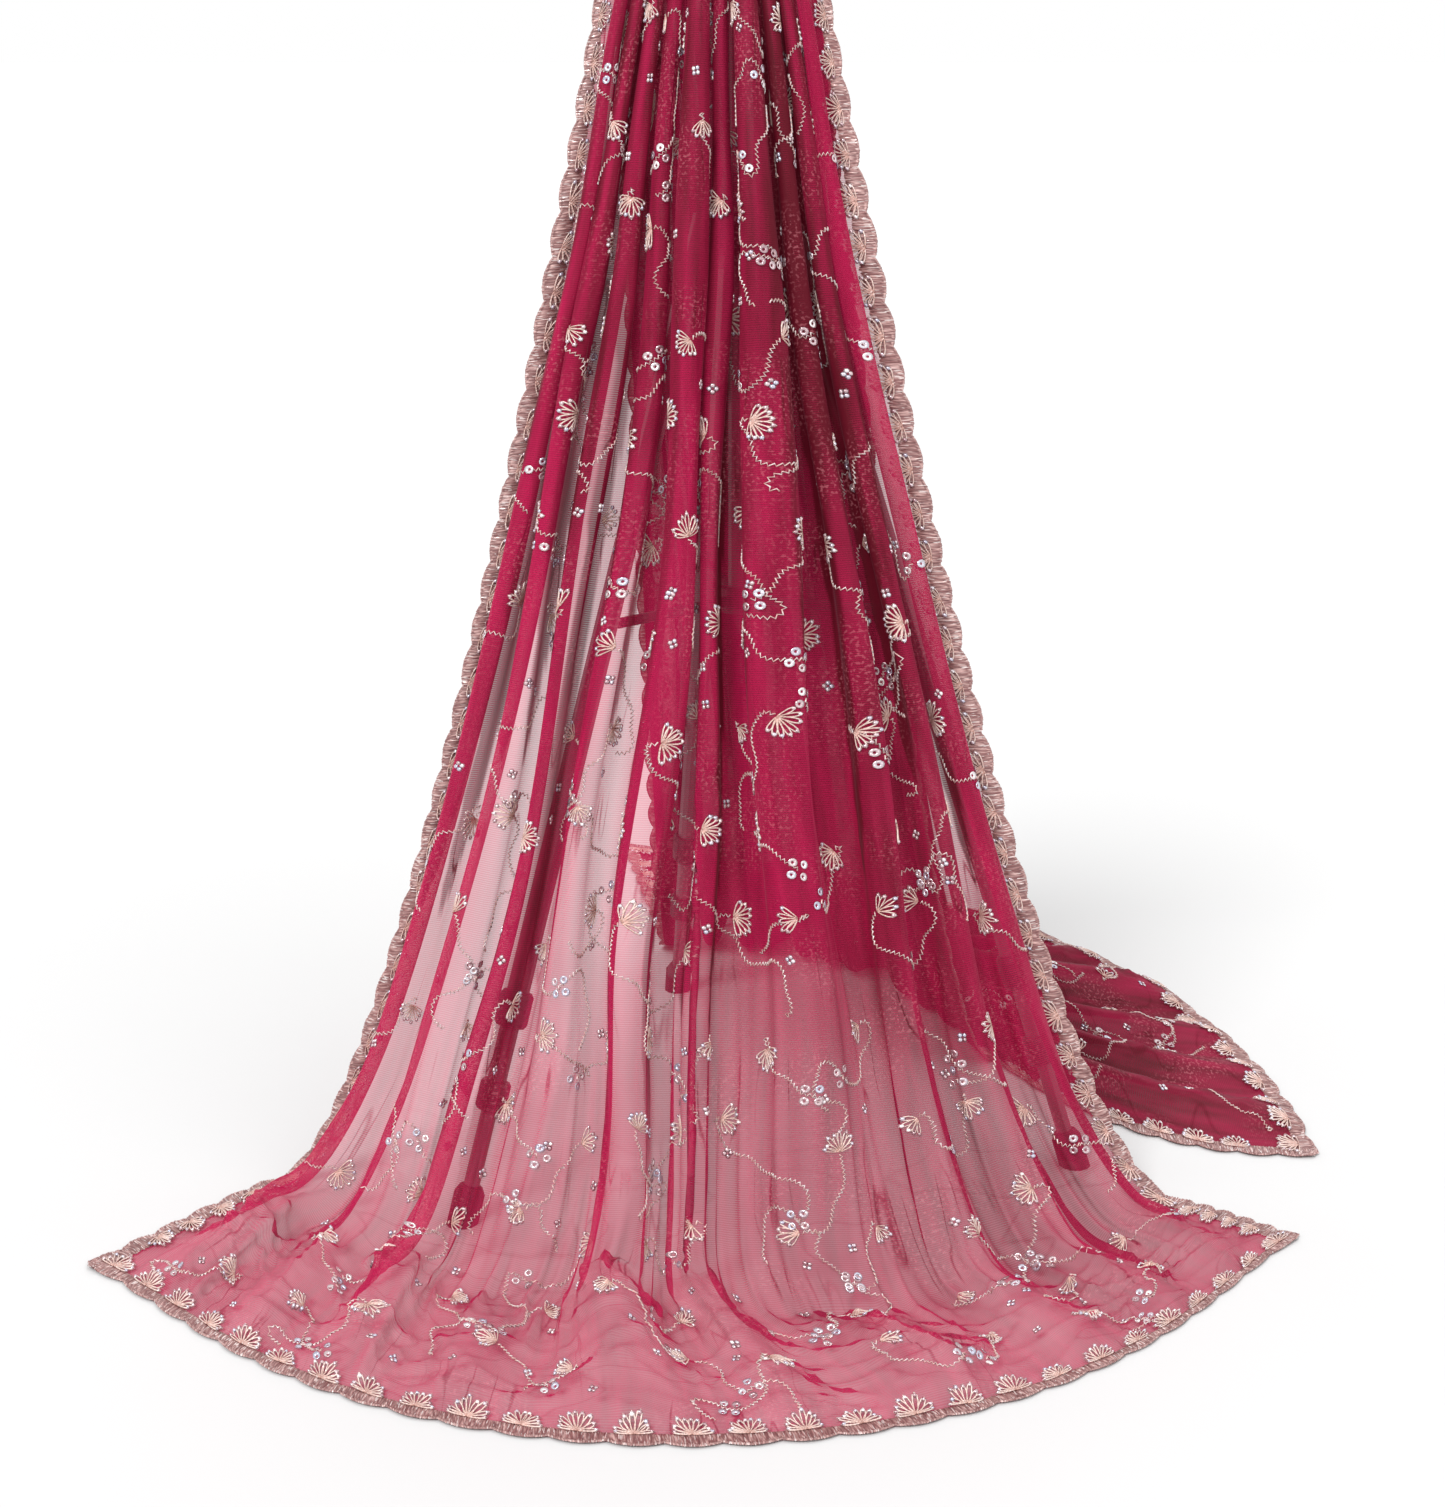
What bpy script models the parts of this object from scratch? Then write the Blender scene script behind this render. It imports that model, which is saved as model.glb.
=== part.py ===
"""Embroidered dupatta stole, gathered over the bar of a tripod stand and spread on the floor at both ends.

Metres, +Z up. The viewer stands at -Y. The cloth is one cut, followed from the crest over the bar to the
front hem and to the back hem. Across, a place on the cut is its distance from the long centre line; along,
it is a share from 0 at the crest to 1 at the hem.
"""

import math

import bmesh
import bpy
import numpy as np
from mathutils import Vector

# The cut and its scalloped band
CUT_WIDTH = 1.000
FRONT_LENGTH = 1.135
BACK_LENGTH = 1.240
WALL = 0.0012
BAND_RAISE = 0.0005
BAND_WIDTH = 0.014
SEAM_GAP = 0.0003
SCALLOP_DEPTH = 0.0045
SCALLOP_POWER = 0.7
SIDE_SCALLOP_PITCH = 0.031
HEM_SCALLOPS = 28
SCALLOP_STEPS = 3
CREST_SCALLOP_STEPS = 6
CORNER_ROOM = 0.08

# The stand
BAR_HEIGHT = 0.890
BAR_RADIUS = 0.011
BAR_HALF_LENGTH = 0.120
BAR_CAP_RADIUS = 0.013
COLUMN_RADIUS = 0.009
CROWN_BOTTOM = 0.662
CROWN_TOP = 0.728
CROWN_RADIUS = 0.0246
BRACE_HEIGHT = 0.420
BRACE_HUB_RADIUS = 0.014
BRACE_HUB_HALF = 0.009
BRACE_ARM_RADIUS = 0.0038
LEG_TOP_REACH = 0.0337
LEG_TOP_HEIGHT = 0.700
FOOT_REACH = 0.268
FIRST_LEG_ANGLE = math.radians(221.5)
STAND_GAP = 0.0003
FOOT_OVERSHOOT = 0.02

# How the cloth lies: centre of the fan on the floor, and the gathered width on the bar
FAN_X = -0.030
FAN_Y = -0.020
GATHER_X = -0.020
GATHER_HALF = 0.072
BAR_CLEARANCE = 0.00035
CREST_STEPS = 2
CREST_TURN = math.radians(80.0)
FLOOR_LIFT = 0.0008
FRONT_CONTACT = 0.850
BACK_CONTACT = 0.780
FRONT_FALL_POWER = 1.6
BACK_FALL_POWER = 1.5
FRONT_FALL_SPAN = 0.27
BACK_FALL_SPAN = 0.33
FLOOR_EASE = 0.12
BACK_BOW = (-0.029, -0.100)
PRESS_AT_BAR = 0.50
PRESS_BELOW = 0.85
PRESS_REACH = 0.12

# Across the cut: name of the stretch, share of the width, and how far it stays shut near the floor
FOLDS = (
    ("left edge", 0.025, 0.0),
    ("first pleat", 0.085, 0.3),
    ("second pleat", 0.085, -0.3),
    ("third pleat", 0.090, 0.9),
    ("fourth pleat", 0.090, -0.5),
    ("wide left pleat", 0.130, 0.8),
    ("middle pleat", 0.085, 0.5),
    ("wide right pleat", 0.140, -0.5),
    ("eighth pleat", 0.085, 0.1),
    ("ninth pleat", 0.080, -0.2),
    ("last pleat", 0.080, 0.2),
    ("right edge", 0.025, 0.0),
)
EDGE_STRETCHES = (0, len(FOLDS) - 1)
TIGHTEST_SWING = 2.02
HOLD_STRENGTH = 0.45

# Along the cloth: where the hold on the pleats starts, is full, starts to fade, and is gone
HOLD_PLACES = (0.30, 0.68, 0.80, 0.96)

# Eight places round one pleat, closest together where it turns
PLEAT_STEPS = (0.0, 1 / 12, 0.25, 5 / 12, 0.5, 7 / 12, 0.75, 11 / 12)

# Rows of each stretch of cloth, as shares of the way from the crest to the hem
SEAM_ROW = 0.030
FRONT_FALL_ROWS = (0.030, 0.09, 0.20, 0.33, 0.46, 0.59, 0.71, 0.81)
BACK_FALL_ROWS = (0.030, 0.09, 0.21, 0.36, 0.51, 0.64, 0.74)
FRONT_SPREAD_ROWS = (0.81, 0.835, 0.855, 0.875, 0.925, 1.0)
BACK_SPREAD_ROWS = (0.74, 0.78, 0.83, 0.90, 1.0)


def material(name, colour, roughness, metallic=0.0):
    made = bpy.data.materials.new(name)
    made.use_nodes = True
    shader = made.node_tree.nodes["Principled BSDF"]
    shader.inputs["Base Color"].default_value = (*colour, 1.0)
    shader.inputs["Roughness"].default_value = roughness
    shader.inputs["Metallic"].default_value = metallic
    return made


def eased(value, low, high):
    share = np.clip((value - low) / (high - low), 0.0, 1.0)
    return share * share * (3.0 - 2.0 * share)


# Fineness of the tables and of the steps that slopes are taken over
STEPS_PER_STRETCH = 48
FALL_TABLE_STEPS = 200
FALL_TABLE_POWER = 1.6
ROW_POINTS = 41
SLOPE_SIDE = 0.004
SLOPE_ALONG = 0.002
WALL_SLOPE_ACROSS = 0.0008
WALL_SLOPE_ALONG = 0.0015
LEAST_FOLDED = 0.01

# How wide a pleat of a given swing stands, as a share of its cloth: the mean of cos(swing * sin(turn))
SWING_TABLE = np.linspace(0.0, TIGHTEST_SWING, 120)
TURN_TABLE = np.linspace(0.0, math.pi, 181)[:-1] + math.pi / 360
OPEN_TABLE = np.mean(np.cos(SWING_TABLE[:, None] * np.sin(TURN_TABLE)), axis=1)

FOLD_SHARES = np.array([share for _, share, _ in FOLDS])
FOLD_HOLDS = np.array([hold for _, _, hold in FOLDS])
FOLD_STARTS = np.concatenate(([0.0], np.cumsum(FOLD_SHARES)))
IS_PLEAT = np.array([i not in EDGE_STRETCHES for i in range(len(FOLDS))])
CUT_SHARES = np.concatenate(
    [np.linspace(a, b, STEPS_PER_STRETCH, endpoint=False) for a, b in zip(FOLD_STARTS[:-1], FOLD_STARTS[1:])]
    + [[1.0]]
)
STRETCH_OF = np.clip(np.searchsorted(FOLD_STARTS, CUT_SHARES, side="right") - 1, 0, len(FOLDS) - 1)
TURN_OF = 2 * math.pi * (CUT_SHARES - FOLD_STARTS[STRETCH_OF]) / FOLD_SHARES[STRETCH_OF]


def quadratic(start, middle, end, share):
    return start * (1 - share) ** 2 + 2 * middle * share * (1 - share) + end * share**2


def contact_line(front, side):
    """Where the cloth meets the floor; side runs from -1 at the left edge to 1 at the right."""
    if front:
        reach = 0.280 + np.where(side < 0, -0.060 * side, 0.100 * side)
        angle = np.radians(-1.5 + 72.5 * side)
        return FAN_X + reach * np.sin(angle), FAN_Y - reach * np.cos(angle)
    share = (side + 1) / 2
    return quadratic(-0.071, 0.130, 0.215, share), quadratic(0.375, 0.400, 0.100, share)


def hem_line(front, side):
    if front:
        reach = 0.447 - 0.008 * side + 0.028 * np.abs(side) ** 9
        angle = np.radians(2.3 + 64.8 * side)
        return FAN_X + reach * np.sin(angle), FAN_Y - reach * np.cos(angle)
    share = (side + 1) / 2
    return quadratic(-0.120, 0.460, 0.443, share), quadratic(0.660, 0.448, -0.075, share)


def drop(way, power):
    """The height left, as a share of the bar's, at a share of the horizontal way; it eases on to the floor."""
    left = 1 - way
    return left**power * (1 - np.exp(-left / FLOOR_EASE)) / (1 - math.exp(-1 / FLOOR_EASE))


def fall_table(power, span):
    """The share of the horizontal way for each share of the hanging length, closest together at the floor."""
    way = 1 - np.linspace(1.0, 0.0, FALL_TABLE_STEPS) ** FALL_TABLE_POWER
    steps = np.hypot(np.diff(way) * span, np.diff(drop(way, power)) * BAR_HEIGHT)
    length = np.concatenate(([0.0], np.cumsum(steps)))
    return length / length[-1], way


CREST_RADIUS = (BAR_RADIUS + BAR_CLEARANCE + WALL / 2) / math.cos(CREST_TURN / CREST_STEPS / 2)
FRONT_FALL = fall_table(FRONT_FALL_POWER, FRONT_FALL_SPAN)
BACK_FALL = fall_table(BACK_FALL_POWER, BACK_FALL_SPAN)


def base(front, side, along):
    """The smooth surface under the pleats, for arrays of the same shape."""
    length = FRONT_LENGTH if front else BACK_LENGTH
    contact = FRONT_CONTACT if front else BACK_CONTACT
    power = FRONT_FALL_POWER if front else BACK_FALL_POWER
    toward = -1.0 if front else 1.0
    crest = CREST_RADIUS * CREST_TURN / length
    gather_x = GATHER_X + GATHER_HALF * side
    contact_x, contact_y = contact_line(front, side)
    hem_x, hem_y = hem_line(front, side)
    turn = np.clip(along / crest, 0, 1) * CREST_TURN
    start_y = toward * CREST_RADIUS * np.sin(turn)
    start_z = BAR_HEIGHT + CREST_RADIUS * np.cos(turn)
    hanging = np.clip((along - crest) / (contact - crest), 0, 1)
    way = np.interp(hanging, *(FRONT_FALL if front else BACK_FALL))
    x = gather_x + (contact_x - gather_x) * way
    y = start_y + (contact_y - start_y) * way
    z = FLOOR_LIFT + WALL / 2 + (start_z - FLOOR_LIFT - WALL / 2) * drop(way, power)
    lying = np.maximum((along - contact) / (1 - contact), 0)
    x = x + (hem_x - contact_x) * lying
    y = y + (hem_y - contact_y) * lying
    if not front:
        bow = 2 * lying * np.clip(1 - lying, 0, 1) * np.clip(side, 0, 1) ** 2
        x = x + BACK_BOW[0] * bow
        y = y + BACK_BOW[1] * bow
    return np.stack((x, y, z), -1)


def base_normal(front, side, along):
    across = base(front, side + SLOPE_SIDE, along) - base(front, side - SLOPE_SIDE, along)
    down = base(front, side, along + SLOPE_ALONG) - base(front, side, np.maximum(along - SLOPE_ALONG, 0))
    normal = np.cross(down, across) if front else np.cross(across, down)
    return normal / np.linalg.norm(normal, axis=-1, keepdims=True)


def section(front, along):
    """One row of the cloth: how far across the smooth surface and how far out of it each share of the cut lies."""
    sides = np.linspace(-1, 1, ROW_POINTS)
    row = base(front, sides, np.full(sides.shape, along))
    width = np.linalg.norm(np.diff(row, axis=0), axis=1).sum()
    start, full, fade, gone = HOLD_PLACES
    hold = HOLD_STRENGTH * eased(along, start, full) * (1 - eased(along, fade, gone))
    weight = 1 - hold * FOLD_HOLDS
    flat = FOLD_SHARES[~IS_PLEAT].sum()
    folded = FOLD_SHARES * IS_PLEAT
    openness = max(width / CUT_WIDTH - flat, LEAST_FOLDED) / (folded * weight).sum() * weight
    swing = np.interp(-np.clip(openness, OPEN_TABLE[-1], 1.0), -OPEN_TABLE, SWING_TABLE) * IS_PLEAT
    angle = swing[STRETCH_OF] * np.sin(TURN_OF)
    step = np.diff(CUT_SHARES) * CUT_WIDTH
    across = np.concatenate(([0.0], np.cumsum(step * (np.cos(angle[1:]) + np.cos(angle[:-1])) / 2)))
    rise = np.concatenate(([0.0], np.cumsum(step * (np.sin(angle[1:]) + np.sin(angle[:-1])) / 2)))
    scale = width / across[-1]
    length = FRONT_LENGTH if front else BACK_LENGTH
    press = PRESS_AT_BAR + (PRESS_BELOW - PRESS_AT_BAR) * eased(along * length, 0.0, PRESS_REACH)
    return 2 * across / across[-1] - 1, rise * scale * press, scale * 2 / across[-1]


def drape(front, across, along):
    """Points of the cloth for one row: an array of distances from the centre line, and one share along."""
    sides, rises, edge_rate = section(front, along)
    shares = across / CUT_WIDTH + 0.5
    beyond = (shares - np.clip(shares, 0, 1)) * CUT_WIDTH
    side = np.interp(shares, CUT_SHARES, sides) + beyond * edge_rate
    rise = np.interp(shares, CUT_SHARES, rises)
    place = np.full(side.shape, along)
    return base(front, side, place) + rise[:, None] * base_normal(front, side, place)


def wall_rows(front, across, along):
    """The inner and outer skin's direction at one row, and its middle points."""
    middle = drape(front, across, along)
    before = drape(front, across - WALL_SLOPE_ACROSS, along)
    cross = drape(front, across + WALL_SLOPE_ACROSS, along) - before
    down = drape(front, across, along + WALL_SLOPE_ALONG) - drape(front, across, max(along - WALL_SLOPE_ALONG, 0.0))
    normal = np.cross(down, cross) if front else np.cross(cross, down)
    return middle, normal / np.linalg.norm(normal, axis=-1, keepdims=True)


def ground_rows(front):
    """Every share along the cloth where the plain ground has a row of points, from the crest on."""
    length = FRONT_LENGTH if front else BACK_LENGTH
    arc = CREST_RADIUS * CREST_TURN / length
    shares = [arc * step / CREST_STEPS for step in range(CREST_STEPS + 1)]
    shares += FRONT_FALL_ROWS if front else BACK_FALL_ROWS
    shares += (FRONT_SPREAD_ROWS if front else BACK_SPREAD_ROWS)[1:-1]
    return shares + [1 - BAND_WIDTH / length]


def beside_ground(front, across, along):
    """Like wall_rows, but on the straight lines between the ground's own rows, so that a band meets the ground."""
    shares = ground_rows(front)
    after = int(np.clip(np.searchsorted(shares, along), 1, len(shares) - 1))
    before = after - 1
    weight = (along - shares[before]) / (shares[after] - shares[before])
    first = wall_rows(front, across, shares[before])
    last = wall_rows(front, across, shares[after])
    middle, normal = (a + (b - a) * weight for a, b in zip(first, last))
    return middle, normal / np.linalg.norm(normal, axis=-1, keepdims=True)


def link(name, mesh_maker, finish):
    mesh = bpy.data.meshes.new(name)
    mesh_maker.to_mesh(mesh)
    mesh_maker.free()
    mesh.materials.append(finish)
    made = bpy.data.objects.new(name, mesh)
    bpy.context.scene.collection.objects.link(made)
    return made


def wall(name, rows, finish, outer=WALL / 2):
    """A closed wall through rows of (middle points, normals)."""
    bm = bmesh.new()
    skins = []
    for offset in (-WALL / 2, outer):
        skins.append([[bm.verts.new(p + n * offset) for p, n in zip(*row)] for row in rows])
    inner, outer_skin = skins
    last_row = len(rows) - 1
    last_column = len(inner[0]) - 1
    for i in range(last_row):
        for j in range(last_column):
            bm.faces.new((outer_skin[i][j], outer_skin[i + 1][j], outer_skin[i + 1][j + 1], outer_skin[i][j + 1]))
            bm.faces.new((inner[i][j], inner[i][j + 1], inner[i + 1][j + 1], inner[i + 1][j]))
    for i in range(last_row):
        for j in (0, last_column):
            bm.faces.new((inner[i][j], inner[i + 1][j], outer_skin[i + 1][j], outer_skin[i][j]))
    for j in range(last_column):
        for i in (0, last_row):
            bm.faces.new((inner[i][j], outer_skin[i][j], outer_skin[i][j + 1], inner[i][j + 1]))
    bmesh.ops.recalc_face_normals(bm, faces=bm.faces)
    bmesh.ops.triangulate(bm, faces=bm.faces)
    made = link(name, bm, finish)
    made.data.shade_smooth()
    made.data.set_sharp_from_angle(angle=math.radians(70))
    return made


def ground_columns():
    """Places across the cut where the plain ground has points, from band to band."""
    edge = CUT_WIDTH / 2 - BAND_WIDTH - SEAM_GAP / 2
    places = [-edge]
    for stretch, start in enumerate(FOLD_STARTS[:-1]):
        if stretch in EDGE_STRETCHES:
            continue
        places += [(start + step * FOLD_SHARES[stretch] - 0.5) * CUT_WIDTH for step in PLEAT_STEPS]
    places.append((FOLD_STARTS[-2] - 0.5) * CUT_WIDTH)
    places.append(edge)
    return np.array(places)


def ground(name, front, shares, finish):
    """A stretch of plain ground between two seams; the last row stops short of the hem's band."""
    length = FRONT_LENGTH if front else BACK_LENGTH
    half_gap = SEAM_GAP / 2 / length
    shares = list(shares)
    shares[0] += half_gap
    shares[-1] -= half_gap if shares[-1] < 1.0 else BAND_WIDTH / length + half_gap
    columns = ground_columns()
    return wall(name, [wall_rows(front, columns, share) for share in shares], finish)


def crest(name, finish):
    """The ground where it goes over the bar, from the front seam to the back seam."""
    columns = ground_columns()
    rows = []
    for front, length in ((True, FRONT_LENGTH), (False, BACK_LENGTH)):
        arc = CREST_RADIUS * CREST_TURN / length
        shares = [arc * step / CREST_STEPS for step in range(CREST_STEPS + 1)] + [SEAM_ROW - SEAM_GAP / 2 / length]
        half = [wall_rows(front, columns, share) for share in shares]
        rows = half[::-1] if front else rows + half[1:]
    return wall(name, rows, finish)


def scallop(place):
    """How far the band's outer edge stands out, for a place counted in scallops."""
    return SCALLOP_DEPTH * abs(math.sin(math.pi * place)) ** SCALLOP_POWER


def side_band(name, front, hand, finish):
    """The scalloped band along one long edge, from the crest to the hem's band; hand is -1 left, 1 right."""
    length = FRONT_LENGTH if front else BACK_LENGTH
    reach = length - BAND_WIDTH - SEAM_GAP
    count = round(reach / SIDE_SCALLOP_PITCH)
    inner_edge = CUT_WIDTH / 2 - BAND_WIDTH + SEAM_GAP / 2
    places = [step / CREST_SCALLOP_STEPS for step in range(CREST_SCALLOP_STEPS)]
    places += [1 + step / SCALLOP_STEPS for step in range((count - 1) * SCALLOP_STEPS + 1)]
    per_scallop = (reach - SEAM_GAP / 2) / count
    corners = [(share * length - SEAM_GAP / 2) / per_scallop for share in ground_rows(front)[1:-1]]
    places = [place for place in places if min(abs(place - corner) for corner in corners) > CORNER_ROOM]
    rows = []
    for place in sorted(places + corners):
        share = (SEAM_GAP / 2 + per_scallop * place) / length
        outer_edge = CUT_WIDTH / 2 - SCALLOP_DEPTH + scallop(place)
        rows.append(beside_ground(front, hand * np.array([inner_edge, outer_edge]), share))
    return wall(name, rows, finish, WALL / 2 + BAND_RAISE)


def hem_band(name, front, finish):
    """The scalloped band along one short edge, corner to corner."""
    length = FRONT_LENGTH if front else BACK_LENGTH
    inner = 1 - (BAND_WIDTH - SEAM_GAP / 2) / length
    columns = []
    outer = []
    for step in range(HEM_SCALLOPS * SCALLOP_STEPS + 1):
        columns.append(CUT_WIDTH * (step / (HEM_SCALLOPS * SCALLOP_STEPS) - 0.5))
        outer.append(1 + (scallop(step / SCALLOP_STEPS) - SCALLOP_DEPTH) / length)
    inner_row = wall_rows(front, np.array(columns), inner)
    picked = [wall_rows(front, np.array([place]), share) for place, share in zip(columns, outer)]
    outer_row = (np.concatenate([p for p, _ in picked]), np.concatenate([n for _, n in picked]))
    return wall(name, [inner_row, outer_row], finish, WALL / 2 + BAND_RAISE)


def turned(name, start, end, profile, finish, sides=12):
    """A round piece from start towards end; profile rows are (distance along, radius)."""
    start = Vector(start)
    axis = (Vector(end) - start).normalized()
    square = axis.orthogonal().normalized()
    bm = bmesh.new()
    points = [bm.verts.new(start + axis * profile[0][0])]
    points += [bm.verts.new(start + axis * along + square * radius) for along, radius in profile]
    points.append(bm.verts.new(start + axis * profile[-1][0]))
    edges = [bm.edges.new(pair) for pair in zip(points[:-1], points[1:])]
    bmesh.ops.spin(bm, geom=points + edges, cent=start, axis=axis, angle=2 * math.pi, steps=sides, use_merge=True)
    bmesh.ops.remove_doubles(bm, verts=bm.verts, dist=1e-6)
    bmesh.ops.recalc_face_normals(bm, faces=bm.faces)
    made = link(name, bm, finish)
    made.data.shade_smooth()
    made.data.set_sharp_from_angle(angle=math.radians(35))
    return made


def tube(name, start, end, radius, finish, sides=12):
    """A straight round piece with square ends."""
    length = (Vector(end) - Vector(start)).length
    return turned(name, start, end, ((0, radius), (length, radius)), finish, sides)


def flat_foot(name, start, end, radius, finish):
    """A rubber foot round the leg's end, cut level with the floor."""
    length = (Vector(end) - Vector(start)).length
    profile = (
        (0, radius * 0.72),
        (0.006, radius),
        (length + FOOT_OVERSHOOT, radius),
    )
    made = turned(name, start, end, profile, finish)
    bm = bmesh.new()
    bm.from_mesh(made.data)
    everything = bm.verts[:] + bm.edges[:] + bm.faces[:]
    cut = bmesh.ops.bisect_plane(
        bm, geom=everything, plane_co=(0, 0, 0), plane_no=(0, 0, -1), clear_outer=True, dist=1e-7
    )
    rim = [e for e in cut["geom_cut"] if isinstance(e, bmesh.types.BMEdge)]
    bmesh.ops.edgeloop_fill(bm, edges=rim)
    bmesh.ops.recalc_face_normals(bm, faces=bm.faces)
    bm.to_mesh(made.data)
    bm.free()
    return made


# Along one leg, from the crown to the floor: name, share where the piece starts, and its radius
LEG_PIECES = (
    ("leg_upper", 0.000, 0.0085),
    ("collar_upper", 0.765, 0.0125),
    ("leg_middle", 0.800, 0.0072),
    ("collar_lower", 0.855, 0.0115),
    ("leg_lower", 0.885, 0.0060),
    ("foot", 0.962, 0.0115),
)


def leg(word, angle, tube_finish, grip_finish):
    """One telescoping leg: three tubes, two twist collars and a rubber foot, end to end."""
    outward = Vector((math.cos(angle), math.sin(angle), 0))
    top = outward * LEG_TOP_REACH + Vector((0, 0, LEG_TOP_HEIGHT))
    ground_point = outward * FOOT_REACH
    way = ground_point - top
    gap = way.normalized() * STAND_GAP / 2
    ends = [start for _, start, _ in LEG_PIECES[1:]] + [1.0]
    for (piece, start, radius), end in zip(LEG_PIECES, ends):
        first = top + way * start + gap
        last = top + way * end - gap
        name = f"{piece}_{word}"
        if piece == "foot":
            flat_foot(name, first, ground_point, radius, grip_finish)
        elif piece.startswith("collar"):
            grip(name, first, last, radius, grip_finish)
        else:
            tube(name, first, last, radius, tube_finish)
    brace_share = 1 - BRACE_HEIGHT / LEG_TOP_HEIGHT
    leg_radius = LEG_PIECES[0][2]
    from_axis = LEG_TOP_REACH + (FOOT_REACH - LEG_TOP_REACH) * brace_share
    slope = (FOOT_REACH - LEG_TOP_REACH) / LEG_TOP_HEIGHT
    inner_face = from_axis - leg_radius * math.hypot(1, slope) - BRACE_ARM_RADIUS * slope
    start = outward * (BRACE_HUB_RADIUS + STAND_GAP) + Vector((0, 0, BRACE_HEIGHT))
    end = outward * (inner_face - STAND_GAP) + Vector((0, 0, BRACE_HEIGHT))
    tube(f"brace_arm_{word}", start, end, BRACE_ARM_RADIUS, grip_finish, 10)


def grip(name, start, end, radius, finish):
    """A twist collar with softened rims."""
    length = (Vector(end) - Vector(start)).length
    profile = (
        (0, radius * 0.84),
        (length * 0.12, radius),
        (length * 0.88, radius),
        (length, radius * 0.84),
    )
    return turned(name, start, end, profile, finish)


def stand(tube_finish, grip_finish):
    """A plain tripod with a short padded bar on its column."""
    for number, word in enumerate(("left", "right", "back")):
        leg(word, FIRST_LEG_ANGLE + number * math.radians(120), tube_finish, grip_finish)
    bar_bottom = BAR_HEIGHT - BAR_RADIUS
    tube("column_upper", (0, 0, CROWN_TOP + STAND_GAP), (0, 0, bar_bottom - STAND_GAP), COLUMN_RADIUS, tube_finish)
    hub_top = BRACE_HEIGHT + BRACE_HUB_HALF
    tube("column_lower", (0, 0, hub_top + STAND_GAP), (0, 0, CROWN_BOTTOM - STAND_GAP), COLUMN_RADIUS, tube_finish)
    crown_height = CROWN_TOP - CROWN_BOTTOM
    crown_profile = (
        (0, CROWN_RADIUS * 0.72),
        (0.010, CROWN_RADIUS),
        (crown_height * 0.72, CROWN_RADIUS),
        (crown_height * 0.78, CROWN_RADIUS * 0.62),
        (crown_height, CROWN_RADIUS * 0.52),
    )
    turned("crown", (0, 0, CROWN_BOTTOM), (0, 0, CROWN_TOP), crown_profile, grip_finish, 18)
    hub_bottom = BRACE_HEIGHT - BRACE_HUB_HALF
    tube("brace_hub", (0, 0, hub_bottom), (0, 0, hub_top), BRACE_HUB_RADIUS, grip_finish, 16)
    left_end = (-BAR_HALF_LENGTH, 0, BAR_HEIGHT)
    right_end = (BAR_HALF_LENGTH, 0, BAR_HEIGHT)
    tube("bar", left_end, right_end, BAR_RADIUS, tube_finish, 24)
    cap_profile = (
        (STAND_GAP, BAR_CAP_RADIUS),
        (0.010, BAR_CAP_RADIUS),
        (0.016, BAR_CAP_RADIUS * 0.55),
    )
    for word, end, hand in (("left", left_end, -1), ("right", right_end, 1)):
        beyond = (end[0] + hand, 0, BAR_HEIGHT)
        turned(f"bar_cap_{word}", end, beyond, cap_profile, grip_finish, 16)


def centre_on_floor():
    """Moves every piece so that the origin is under the middle of the whole object's box."""
    pieces = [o for o in bpy.context.scene.objects if o.type == "MESH"]
    corners = np.array([v.co[:] for o in pieces for v in o.data.vertices])
    middle = (corners.min(axis=0) + corners.max(axis=0)) / 2
    for piece in pieces:
        for vertex in piece.data.vertices:
            vertex.co.x -= middle[0]
            vertex.co.y -= middle[1]


def main():
    for old in list(bpy.data.objects):
        bpy.data.objects.remove(old)
    net = material("crimson net", (0.42, 0.012, 0.060), 0.60)
    satin = material("rose satin stitch", (0.45, 0.170, 0.170), 0.45)
    tube_finish = material("dark anodised tube", (0.050, 0.045, 0.050), 0.35, 0.9)
    grip_finish = material("black moulded grip", (0.020, 0.018, 0.020), 0.60)
    ground("cloth_front_fall", True, FRONT_FALL_ROWS, net)
    crest("cloth_over_bar", net)
    ground("cloth_back_fall", False, BACK_FALL_ROWS, net)
    ground("cloth_front_spread", True, FRONT_SPREAD_ROWS, net)
    ground("cloth_back_spread", False, BACK_SPREAD_ROWS, net)
    for word, front in (("front", True), ("back", False)):
        hem_band(f"border_{word}_hem", front, satin)
        side_band(f"border_left_{word}", front, -1, satin)
        side_band(f"border_right_{word}", front, 1, satin)
    stand(tube_finish, grip_finish)
    centre_on_floor()


main()
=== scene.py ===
"""The looks of an embroidered dupatta stole draped over a tripod stand.

Metres, +Z up. The viewer stands at -Y. A place on the cloth is given on the flat cut: across is the
distance from the long centre line, and along is the distance from the crest over the bar, above zero
towards the front hem and below zero towards the back hem.
"""

import itertools
import math
import random

import bmesh
import bpy
import numpy as np
from bpy.props import FloatProperty, FloatVectorProperty, PointerProperty
from mathutils import Matrix, Vector


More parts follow.
